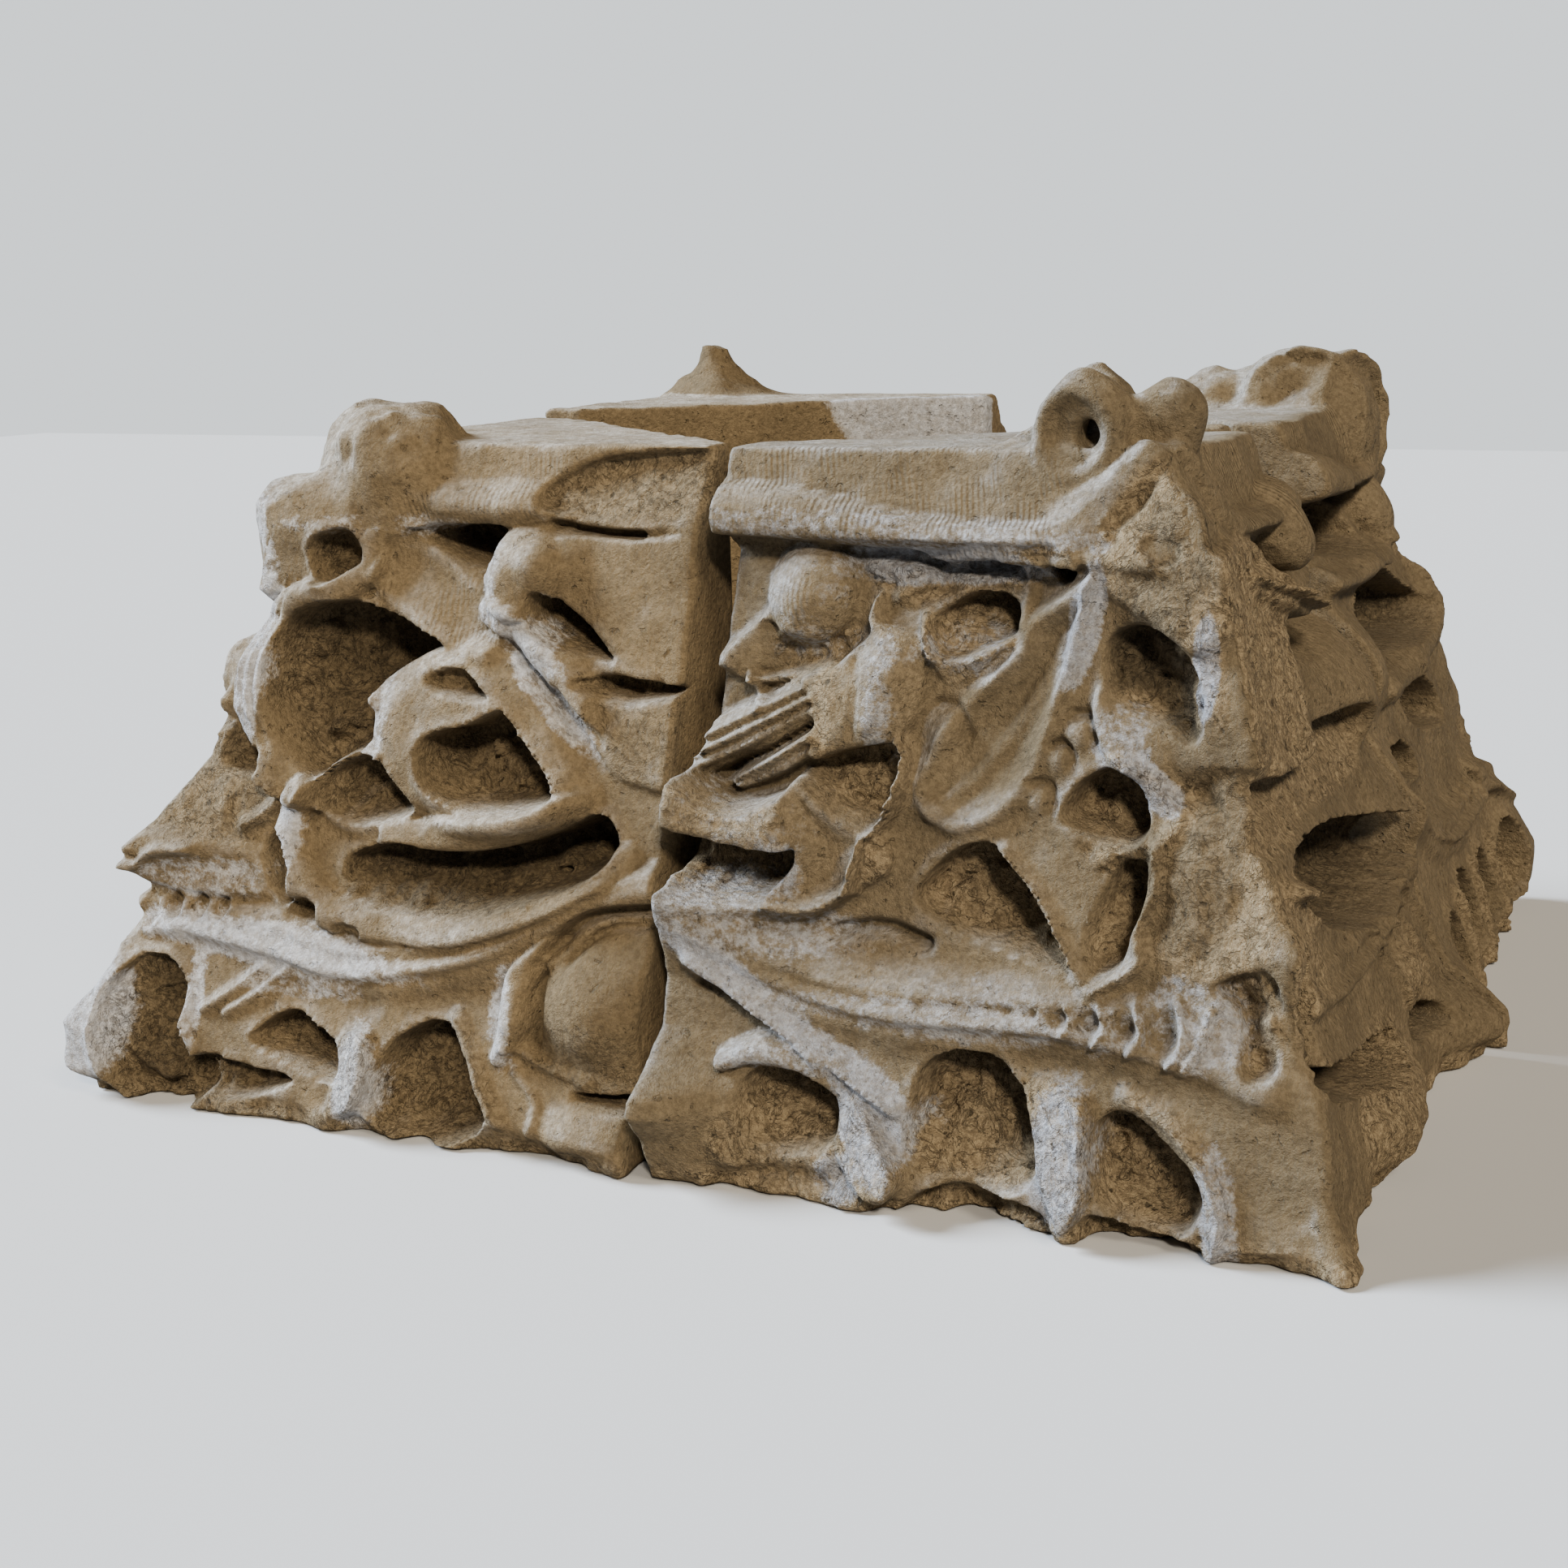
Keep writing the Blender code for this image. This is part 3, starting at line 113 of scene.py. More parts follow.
def nearest(line, s, z):
    """Each place's distance from a line, the share of the line's length there, and its side (1 is left)."""
    lengths = np.hypot(*np.diff(line, axis=0).T)
    total = lengths.sum()
    far = np.full(s.shape, np.inf)
    share = np.zeros(s.shape)
    side = np.ones(s.shape)
    run = 0.0
    for a, b, length in zip(line[:-1], line[1:], lengths):
        step = b - a
        t = ((s - a[0]) * step[0] + (z - a[1]) * step[1]) / max(length**2, 1e-12)
        t = np.clip(t, 0, 1)
        off_s = s - a[0] - t * step[0]
        off_z = z - a[1] - t * step[1]
        d = np.hypot(off_s, off_z)
        near = d < far
        far = np.where(near, d, far)
        share = np.where(near, (run + t * length) / total, share)
        side = np.where(near, np.sign(step[0] * off_z - step[1] * off_s), side)
        run += length
    return far, share, side


def inside(line, s, z):
    """Which places a closed line goes around."""
    within = np.zeros(s.shape, bool)
    for a, b in zip(line[:-1], line[1:]):
        if a[1] == b[1]:
            continue
        crosses = (a[1] > z) != (b[1] > z)
        at = a[0] + (z - a[1]) * (b[0] - a[0]) / (b[1] - a[1])
        within ^= crosses & (s < at)
    return within


def ease(t):
    """A smooth step from 0 to 1."""
    t = np.clip(t, 0, 1)
    return t * t * (3 - 2 * t)


def along(values, share):
    """A value that changes evenly along a line: one number, or several at equal shares."""
    values = np.atleast_1d(np.array(values, float))
    return np.interp(share, np.linspace(0, 1, len(values)), values)


def soft_max(a, b, k):
    """The larger of two fields, blended over k."""
    h = np.maximum(k - np.abs(a - b), 0) / k
    return np.maximum(a, b) + h * h * k / 4


def soft_min(a, b, k):
    return -soft_max(-a, -b, k)


def spread(knots, size, axis):
    """Widens a random lattice along one axis to size points, smoothly."""
    place = np.linspace(0, knots.shape[axis] - 1.001, size)
    low = place.astype(int)
    t = ease(place - low)
    shape = [1] * knots.ndim
    shape[axis] = size
    t = t.reshape(shape)
    return np.take(knots, low, axis) * (1 - t) + np.take(knots, low + 1, axis) * t


def grain(shape, pitch, cell, seed):
    """Smooth random relief, about one unit high, with lumps about a cell across."""
    lattice = [int(n * pitch / cell) + 3 for n in shape]
    field = np.random.default_rng(seed).normal(size=lattice).astype(np.float32)
    for axis, size in enumerate(shape):
        field = spread(field, size, axis).astype(np.float32)
    return field


def facets(shape, pitch, cell, seed):
    """Flat patches about a cell across, each at its own height and tilt, as crumbled clay has."""
    rng = np.random.default_rng(seed)
    lattice = [int(n * pitch / cell) + 4 for n in shape]
    spots = rng.uniform(0.1, 0.9, lattice + [2])
    tilts = rng.normal(size=lattice + [3])
    a, b = np.meshgrid(*(np.arange(n) * pitch / cell for n in shape), indexing="ij")
    near = np.full(a.shape, np.inf)
    height = np.zeros(a.shape)
    for i, j in np.ndindex(3, 3):
        row, column = a.astype(int) + i, b.astype(int) + j
        off_a = a + 1 - row - spots[row, column, 0]
        off_b = b + 1 - column - spots[row, column, 1]
        d = np.hypot(off_a, off_b)
        tilt = tilts[row, column]
        closer = d < near
        near = np.where(closer, d, near)
        height = np.where(closer, tilt[..., 0] + tilt[..., 1] * off_a + tilt[..., 2] * off_b, height)
    return height


def rough(shape, pitch, cell, seed, layers=3):
    """Several sizes of random relief added up, each half as large and half as high as the last."""
    total = np.zeros(shape, np.float32)
    for i in range(layers):
        total += grain(shape, pitch, cell / 2**i, seed + i) / 2**i
    return total


# ---------------------------------------------------------------- carving a face


class Face:
    """Half of a carved face: heights above its leaning skin, by s (away from the joint) and z."""

    def __init__(self, s, z):
        self.s, self.z = 1000 * np.array(np.meshgrid(s, z, indexing="ij"))
        self.corner = 1000 * FOOT_HALF - TAPER * self.z - self.s
        self.height = np.zeros(self.s.shape)
        self.hollow = np.zeros(self.s.shape)
        self.broken = np.zeros(self.s.shape)
        self.combed = np.zeros(self.s.shape)
        self.dust_light_and_shade = np.zeros(self.s.shape)

    def window(self, line, margin):
        """The rows and columns of the grid that a shape can reach."""
        s_low, z_low = line.min(axis=0) - margin
        s_high, z_high = line.max(axis=0) + margin
        rows = np.nonzero((self.s[:, 0] >= s_low) & (self.s[:, 0] <= s_high))[0]
        columns = np.nonzero((self.z[0] >= z_low) & (self.z[0] <= z_high))[0]
        if len(rows) == 0 or len(columns) == 0:
            return (slice(0, 0), slice(0, 0))
        return (slice(rows[0], rows[-1] + 1), slice(columns[0], columns[-1] + 1))

    def depth_inside(self, points, margin):
        """A closed outline's window, and how deep each place lies inside it."""
        line = smooth_line(points, closed=True)
        w = self.window(line, margin)
        far, _, _ = nearest(line, self.s[w], self.z[w])
        return w, np.where(inside(line, self.s[w], self.z[w]), far, -far)

    def rib(self, points, width, height, form=SOFT, flutes=0, broken=0.0):
        """A ridge along a line, or a groove where the height is below zero; flutes run along it."""
        line = smooth_line(points)
        w = self.window(line, float(np.max(width)))
        far, share, side = nearest(line, self.s[w], self.z[w])
        across = np.clip(far / along(width, share), 0, 1)
        crown = (1 - across ** form[0]) ** form[1]
        if flutes:
            crown = crown * (1 + 0.20 * np.cos(2 * np.pi * flutes * side * across))
        self.height[w] += along(height, share) * crown
        if broken:
            self.broken[w] = np.maximum(self.broken[w], broken * ease(2 - 2 * across))

    def pocket(self, points, depth, wall=10, lean=(0, 0), lip=0, crumbly=1.0):
        """A hollow with steep walls; lean makes its floor deeper towards +s or +z.

        A lip is a thin raised rim around it.
        """
        w, d = self.depth_inside(points, 2 * wall)
        centre = np.mean(points, axis=0)
        slope = lean[0] * (self.s[w] - centre[0]) + lean[1] * (self.z[w] - centre[1])
        sunk = 1 - (1 - np.clip(d / wall, 0, 1)) ** 2.2
        rim = np.where(d > 0, 1 - sunk, np.clip(1 + d / 12, 0, 1) ** 2)
        self.height[w] += lip * rim - np.maximum(depth + slope, 0.2 * depth) * sunk
        self.hollow[w] = np.maximum(self.hollow[w], crumbly * ease(1.8 * d / wall) * min(1.0, depth / 30))

    def sheet(self, points, height, edge=6, lean=(0, 0), dish=0, broken=0.0, combed=0.0):
        """A patch with a surface of its own, whatever was there before, and a cliff at its edge.

        A dish is how far its middle lies below its edge.
        """
        w, d = self.depth_inside(points, edge)
        centre = np.mean(points, axis=0)
        own = height + lean[0] * (self.s[w] - centre[0]) + lean[1] * (self.z[w] - centre[1])
        own = own - dish * ease(d / 22)
        cover = ease(d / edge + 0.5)
        self.height[w] += cover * (own - self.height[w])
        for mask, value in ((self.hollow, 0.0), (self.broken, broken), (self.combed, combed)):
            mask[w] += cover * (value - mask[w])

    def mark(self, mask, points, value=1.0, edge=12):
        """Marks a patch as broken, combed or hollow without changing its height."""
        w, d = self.depth_inside(points, edge)
        mask[w] = np.maximum(mask[w], value * ease(d / edge + 0.5))

    def mound(self, centre, radii, height):
        """A low swelling, or a dish where the height is below zero."""
        d = np.hypot((self.s - centre[0]) / radii[0], (self.z - centre[1]) / radii[1])
        self.height += height * (1 - np.clip(d, 0, 1) ** 2) ** 1.5

    def ball(self, centre, radius, rise):
        """A ball that stands out as far as rise above the skin."""
        d = np.hypot(self.s - centre[0], self.z - centre[1])
        dome = rise - radius + np.sqrt(np.maximum(radius**2 - d**2, 0))
        self.height = np.where(d < radius, np.maximum(self.height, dome), self.height)
        self.hollow = np.where(d < radius, 0.0, self.hollow)


# ---------------------------------------------------------------- the designs

# Places on a face are (s, z): millimetres away from the joint, and up from 10 mm below the underside.


def foot_of_slab(face, forward=6):
    """The slab along the top, set forward over the hollowed bell."""
    under = ease((ABACUS_FOOT - face.z) / 6) * ease((face.z - 380) / 50)
    face.height -= 14 * under * ease((300 - face.s) / 60)
    slab = ease((face.z - ABACUS_FOOT) / 4) * ease((290 - face.s) / 50)
    face.height += forward * slab
    face.pocket([(-20, 446), (80, 444), (160, 438), (235, 442), (225, 430), (160, 426), (80, 434),
            (-20, 438)], 12, 6)


def slab_roll(face):
    """The rounded roll along the slab's lower edge, thicker at the joint, which climbs into the scroll."""
    face.rib([(-20, 470), (50, 467), (120, 460), (190, 454), (260, 456), (290, 474), (308, 500)],
            (22, 21, 18, 13, 12, 11, 10), (26, 25, 22, 20, 18, 16, 10), CORD)
    face.mark(face.combed, [(-20, 515), (230, 515), (260, 470), (230, 440), (-20, 445)], 1.0)


# Leaf tips and hollows that follow each other down a corner: how high, and how far out
PLAIN_CORNER = ((10, 2), (45, 16), (70, 26), (115, 12), (150, -6), (172, 4), (204, 30), (235, 18), (285, -6),
        (315, 10), (350, 4), (380, -6), (400, 14), (450, 20), (500, 0))
NEAR_CORNER = ((10, 4), (45, -4), (70, 4), (115, 6), (150, -8), (180, 8), (204, 18), (235, 10), (270, 6),
        (295, -18), (315, 6), (360, 10), (410, 12), (450, 12), (500, 0))
FAR_CORNER = ((10, 0), (45, 16), (75, 27), (130, 18), (170, -12), (225, 5), (290, 9), (330, 10), (405, -12),
        (450, 14), (500, 0))


def corner_swell(face, swells):
    """Shapes a face near its corner."""
    places, out = np.transpose(swells)
    face.height += np.interp(face.z, places, out) * ease((90 - face.corner) / 90)


def joint_swell(face, low=False):
    """The leaf beside the joint: its shoulder, its waist and its turned-out tip, high or low."""
    places = (10, 45, 68, 80, 100, 118, 150, 180, 206, 235, 262)
    swells = (0, 26, 56, 54, 22, 8, 8, 26, 44, 34, 0)
    if low:
        places = (0, 20, 45, 60, 78, 100, 150, 180, 206, 235, 262)
        swells = (34, 46, 46, 34, 10, 4, 4, 12, 20, 14, 0)
    face.height += np.interp(face.z, places, swells) * ease((95 - face.s) / 95)


def dust_and_painted_light_patches(face, patches):
    """Patches of dust and painted light: middle, half lengths, turn in degrees, thickness (bare below 0,
    stained below -1). Pale patches also stand for painted highlights, and stained ones partly for painted
    shade.
    """
    for centre, radii, turn, value in patches:
        c, n = math.cos(math.radians(turn)), math.sin(math.radians(turn))
        s, z = face.s - centre[0], face.z - centre[1]
        d = np.hypot((c * s + n * z) / radii[0], (c * z - n * s) / radii[1])
        face.dust_light_and_shade += ease(1.9 - 1.4 * d) * (value - face.dust_light_and_shade)


def keep_corner(face):
    """Keeps the hollows of two faces from meeting inside their corner."""
    face.height = np.maximum(face.height, -0.80 * np.maximum(face.corner - 14, 0))


def chipped_foot(face, seed):
    """The lowest edge, chipped back unevenly."""
    shape = face.s.shape
    bites = 0.5 + 0.5 * grain(shape, PITCH, 0.045, seed) + 0.25 * grain(shape, PITCH, 0.018, seed + 1)
    face.height -= 16 * np.clip(bites, 0, 1.6) * ease((34 - face.z) / 18)
    face.broken = np.maximum(face.broken, ease((30 - face.z) / 12))


def midrib(face, line, width, height):
    """The great rib that runs out from the joint to the corner, with creases along it."""
    face.rib(line, width, height)
    for shift, depth in ((17, 2.6), (6, -3), (-6, 2.4), (-16, -3)):
        share = np.linspace(0.35, 1.0, len(line))
        crease = [(s, z + shift * k) for (s, z), k in zip(line, share)]
        face.rib(crease, 7, (0.4 * depth, depth, depth, 0.3 * depth))


def scroll_half(face):
    """The half face whose leaf rolls into a bowl: front left, and one on the left side and the back."""
    foot_of_slab(face, 4)
    scroll_half_top(face)
    scroll_half_bowls(face)
    scroll_half_foot(face)
    # Patches of dust, some of them painted highlights on lit edges, and darker ones partly painted shade.
    dust_and_painted_light_patches(face, (((300, 345), (35, 45), 0, -0.9), ((150, 200), (110, 30), 0, -0.9),
            ((45, 115), (60, 65), 0, -1.35), ((80, 485), (60, 35), 0, -0.8), ((430, 70), (40, 50), 0, -0.7),
            ((368, 345), (14, 75), 0, 1.0), ((385, 430), (20, 60), 0, 0.7), ((335, 140), (130, 18), 4, 0.9),
            ((400, 185), (60, 20), 0, 0.6), ((322, 215), (12, 40), 0, 0.9), ((485, 75), (36, 50), 0, 1.0),
            ((135, 375), (50, 12), 35, 0.7), ((110, 330), (60, 10), 45, 0.7), ((252, 310), (10, 50), 0, 0.6),
            ((240, 52), (18, 40), 0, 0.9), ((118, 110), (16, 40), 0, 0.8), ((300, 112), (60, 12), 0, 0.5),
            ((170, 415), (12, 36), 0, 0.7), ((280, 452), (80, 10), 0, 0.4), ((395, 95), (10, 50), 0, 0.7)))


def scroll_half_top(face):
    """The slab, the ball, the slots beside it and the stems that pass under it."""
    face.rib([(120, 470), (170, 468), (220, 470), (270, 482)], (16, 22, 20, 14), (12, 16, 12, 2))
    face.mark(face.combed, [(100, 505), (140, 460), (200, 452), (260, 458), (240, 485), (170, 500)], 0.7)
    face.sheet([(-20, 462), (60, 460), (120, 462), (138, 476), (120, 490), (80, 504), (-20, 506)], -6, 8,
            lean=(-0.05, -0.25), broken=1.0)
    face.rib([(125, 456), (95, 450), (55, 448)], 6, -16)
    # The worn ground beside the joint
    face.sheet([(-20, 350), (60, 352), (66, 368), (122, 408), (135, 445), (60, 446), (-20, 446)], 4, 5)
    face.sheet([(260, 440), (225, 436), (180, 408), (152, 384), (170, 350), (205, 364), (240, 384),
            (275, 405)], 6, 10, lean=(0.0, -0.15), dish=6, combed=0.7)
    face.ball((146, 420), BALL_RADIUS + 2, 30)
    face.mound((118, 428), (30, 26), 10)
    face.pocket([(130, 408), (112, 398), (88, 382), (66, 360), (90, 362), (115, 370), (134, 388)], 40, 6,
            lean=(0.2, 0.3))
    face.pocket([(252, 449), (210, 453), (171, 453), (168, 438), (176, 418), (202, 423), (228, 436)], 50, 6)
    face.rib([(170, 392), (140, 382), (115, 362), (90, 338), (60, 303), (45, 285)], (12, 16, 15, 10),
            (12, 24, 20, 6), CORD)
    face.rib([(175, 362), (148, 348), (122, 320), (100, 294), (75, 268)], (12, 15, 14, 12), (10, 22, 20, 6),
            CORD)
    face.rib([(105, 338), (80, 314), (56, 292)], 6, -12)
    face.pocket([(92, 346), (60, 350), (10, 344), (12, 336), (40, 326), (75, 334)], 26, 7)
    face.sheet([(75, 330), (45, 332), (5, 338), (-20, 320), (-20, 275), (50, 280)], 8, 8, lean=(-0.1, 0.0),
            broken=0.4)
    # The corner scroll's eye and the grooved stem that curls down from it
    face.mound((320, 465), (60, 40), 14)
    face.pocket([(330, 430), (322, 444), (300, 450), (288, 440), (288, 425), (303, 411), (320, 408)], 55, 8,
            lip=8)


def scroll_half_bowls(face):
    """The leaf that rolls in on itself: two bowls, one above the other, with the leaf's tip between."""
    stem = [(276, 440), (278, 418), (298, 405), (330, 397), (352, 382), (366, 352), (366, 318), (352, 284),
            (328, 262), (300, 252)]
    face.rib(stem, (10, 11, 16, 19, 18, 14), (16, 18, 22, 24, 24, 12), CORD)
    for shift in (-4, 4, 13):
        face.rib([(344 + shift, 408), (358 + shift, 380), (366 + shift, 345), (362 + shift, 310),
                (348 + shift, 280)], 4.5, (-3, -5, -5, -3))
    face.pocket([(405, 305), (378, 296), (352, 280), (356, 262), (385, 262), (412, 282)], 22, 10)
    face.mark(face.broken, [(420, 300), (360, 250), (360, 210), (420, 200), (460, 230)], 0.9)
    face.rib([(352, 262), (336, 250), (345, 236), (362, 226)], 10, 14, CREST, broken=0.7)
    bowl = [(207, 366), (228, 377), (255, 386), (290, 395), (318, 394), (342, 382), (354, 358), (353, 325),
            (338, 300), (325, 278), (305, 263), (285, 277), (262, 288), (258, 312), (262, 330), (240, 350)]
    face.pocket(bowl, 31, 9, lean=(-0.12, 0.15), lip=5)
    deep = [(205, 364), (232, 374), (262, 384), (294, 390), (318, 382), (331, 360), (330, 334), (318, 312),
            (292, 302), (268, 306), (264, 330), (240, 348)]
    face.pocket(deep, 36, 16, lean=(-0.50, 0.50))
    face.rib([(262, 322), (285, 308), (305, 298)], 12, 22, CREST)
    # The leaf rolled inside it, raised, with its own deep pocket
    leaf = [(212, 364), (238, 350), (258, 326), (260, 300), (246, 276), (222, 256), (190, 240), (130, 236),
            (85, 252), (80, 275), (110, 308), (150, 352)]
    face.sheet(leaf, 14, 18, lean=(-0.10, 0.0), dish=-6)
    inner = [(212, 294), (208, 272), (192, 258), (165, 250), (132, 251), (105, 257), (91, 268), (110, 292),
            (127, 306), (141, 322), (152, 322), (172, 312), (200, 305)]
    face.pocket(inner, 62, 9, lean=(-0.25, 0.45), lip=3)
    face.pocket([(216, 342), (200, 350), (180, 350), (157, 333), (168, 328), (205, 333)], 18, 6,
            lean=(-0.2, 0.2))
    # The dished lobe between the bowls
    face.pocket([(304, 258), (290, 274), (268, 286), (245, 281), (226, 262), (213, 247), (235, 236),
            (270, 230), (298, 240)], 26, 16, lean=(-0.35, 0.35), lip=6)
    face.rib([(308, 250), (292, 272), (270, 287), (248, 284)], 6, 8, CREST)
    # The lower bowl, deep under the leaf's lip
    lower = [(228, 222), (190, 218), (150, 221), (118, 229), (88, 241), (64, 253), (51, 247), (44, 230),
            (56, 212), (85, 198), (125, 183), (165, 175), (205, 173), (245, 176), (272, 190), (268, 210)]
    face.pocket(lower, 50, 12, lean=(-0.15, 0.95), lip=3)
    face.mark(face.hollow, lower, 0.9, 4)
    face.rib([(235, 226), (190, 231), (145, 237), (105, 248), (75, 262)], (10, 14, 14, 10), (8, 18, 18, 10),
            CORD)
    rim = [(312, 255), (322, 232), (318, 206), (302, 186), (278, 168), (230, 162), (165, 166), (110, 183),
            (65, 204), (35, 226)]
    face.rib(rim, (12, 15, 14, 11, 10, 10, 10), (16, 20, 18, 12, 10, 10), CORD)
    face.pocket([(346, 203), (342, 220), (328, 224), (318, 208), (312, 192), (318, 168), (334, 178)], 30, 7,
            lip=4)
    face.pocket([(316, 165), (308, 178), (290, 178), (284, 166), (298, 156)], 14, 6)
    face.pocket([(272, 158), (262, 164), (246, 158), (252, 148), (266, 148)], 10, 6)


def scroll_half_foot(face):
    """The great rib and the lowest leaves: thumb marks, pockets and the round lobe at the joint."""
    midrib(face, [(0, 212), (50, 196), (100, 170), (150, 150), (200, 138), (260, 130), (330, 142), (400, 149),
            (455, 148)], (18, 28, 32, 26, 18), (16, 16, 14, 14, 10))
    face.sheet([(480, 205), (440, 220), (395, 215), (350, 205), (340, 175), (400, 172), (455, 180)], 8, 10,
            dish=6)
    face.rib([(475, 192), (450, 192), (428, 206), (400, 208)], 7, 10, CREST)
    for centre, size in (((446, 155), 1.3), ((421, 160), 1.05), ((398, 162), 1.0), ((377, 162), 0.85)):
        face.pocket([(centre[0] - 8 * size, centre[1]), (centre[0], centre[1] + 12 * size),
                (centre[0] + 8 * size, centre[1]), (centre[0], centre[1] - 12 * size)], 13 * size, 6, lip=2,
                crumbly=0.4)
    face.pocket([(472, 90), (462, 108), (442, 123), (420, 121), (404, 104), (402, 76), (388, 50), (374, 26),
            (400, 8), (445, 10), (464, 34), (472, 62)], 46, 12, lean=(-0.25, 0.35), lip=3)
    face.mound((432, 50), (50, 50), 22)
    for shift in (0, 22):
        face.rib([(385 - shift, 86), (358 - shift, 103), (334 - shift, 122)], 7, 7, CREST)
    face.pocket([(338, 68), (322, 86), (302, 93), (278, 85), (258, 73), (249, 54), (262, 47), (300, 55)], 50,
            9, lean=(-0.5, 0.4), lip=3)
    face.pocket([(388, 52), (345, 50), (296, 45), (312, 34), (345, 22), (376, 24)], 26, 8)
    face.sheet([(254, 82), (229, 84), (226, 50), (238, 28), (262, 22), (256, 55)], 10, 6, lean=(-0.5, 0.0),
            broken=1.0)
    face.pocket([(226, 50), (214, 78), (196, 92), (178, 99), (160, 96), (148, 80), (134, 58), (124, 38),
            (142, 18), (185, 12), (224, 20)], 55, 11, lean=(-0.35, 0.40), lip=4)
    face.rib([(158, 104), (142, 82), (126, 56), (114, 36)], 9, 10, CREST, broken=0.6)
    # The round lobe at the joint, its curled rim and the folds above it
    face.mound((45, 122), (62, 52), 30)
    face.rib([(86, 158), (106, 136), (108, 106), (118, 82)], (10, 12, 12, 8), (10, 22, 24, 10), CORD)
    face.rib([(90, 150), (88, 118), (92, 92)], 7, -12)
    face.rib([(85, 158), (55, 184), (5, 190)], 8, -18)
    face.rib([(68, 152), (45, 174), (5, 180)], 5, -9)
    face.rib([(110, 90), (78, 78), (45, 70)], 6, 8, CREST)
    face.rib([(105, 72), (85, 52), (88, 30)], 6, 6, CREST)
    face.pocket([(62, 60), (36, 63), (6, 64), (6, 54), (40, 55)], 34, 5)
    face.mound((30, 35), (60, 28), 18)
    face.mark(face.broken, [(80, 110), (20, 110), (10, 70), (60, 70)], 0.6)


def torn_half(face):
    """The half face with the torn leaf and the thick grey lip: front right."""
    foot_of_slab(face)
    slab_roll(face)
    joint_swell(face)
    torn_half_leaf(face)
    torn_half_lobes(face)
    torn_half_foot(face)
    # Patches of dust, some of them painted highlights on lit ridges, and darker ones partly painted shade.
    dust_and_painted_light_patches(face, (((240, 345), (40, 66), -20, -1.25), ((105, 345), (35, 40), 0, -0.6),
            ((130, 460), (190, 14), -2, 0.55), ((165, 434), (95, 14), 0, 1.0), ((85, 414), (40, 36), 0, 0.25),
            ((95, 378), (40, 14), 10, 0.5), ((50, 268), (70, 26), 0, 0.3), ((50, 168), (60, 10), -32, 1.0),
            ((92, 228), (18, 26), 0, 0.8), ((70, 196), (100, 22), -10, 0.5),
            ((110, 124), (110, 12), -30, 0.8), ((290, 156), (90, 20), -8, 0.45),
            ((385, 160), (28, 42), 60, 0.6), ((200, 142), (130, 14), -2, 0.45),
            ((286, 400), (14, 50), -12, 0.9), ((372, 375), (12, 45), 0, 1.0), ((320, 328), (26, 28), 0, 0.6),
            ((345, 296), (28, 14), -45, 0.9), ((172, 70), (24, 40), 30, 0.9), ((304, 66), (24, 50), 0, 0.9),
            ((410, 40), (14, 50), 10, 0.8), ((150, 30), (20, 20), 0, 0.8), ((206, 378), (40, 20), 0, 0.5),
            ((100, 104), (40, 12), 0, 0.6), ((150, 350), (12, 50), 0, 0.5)))


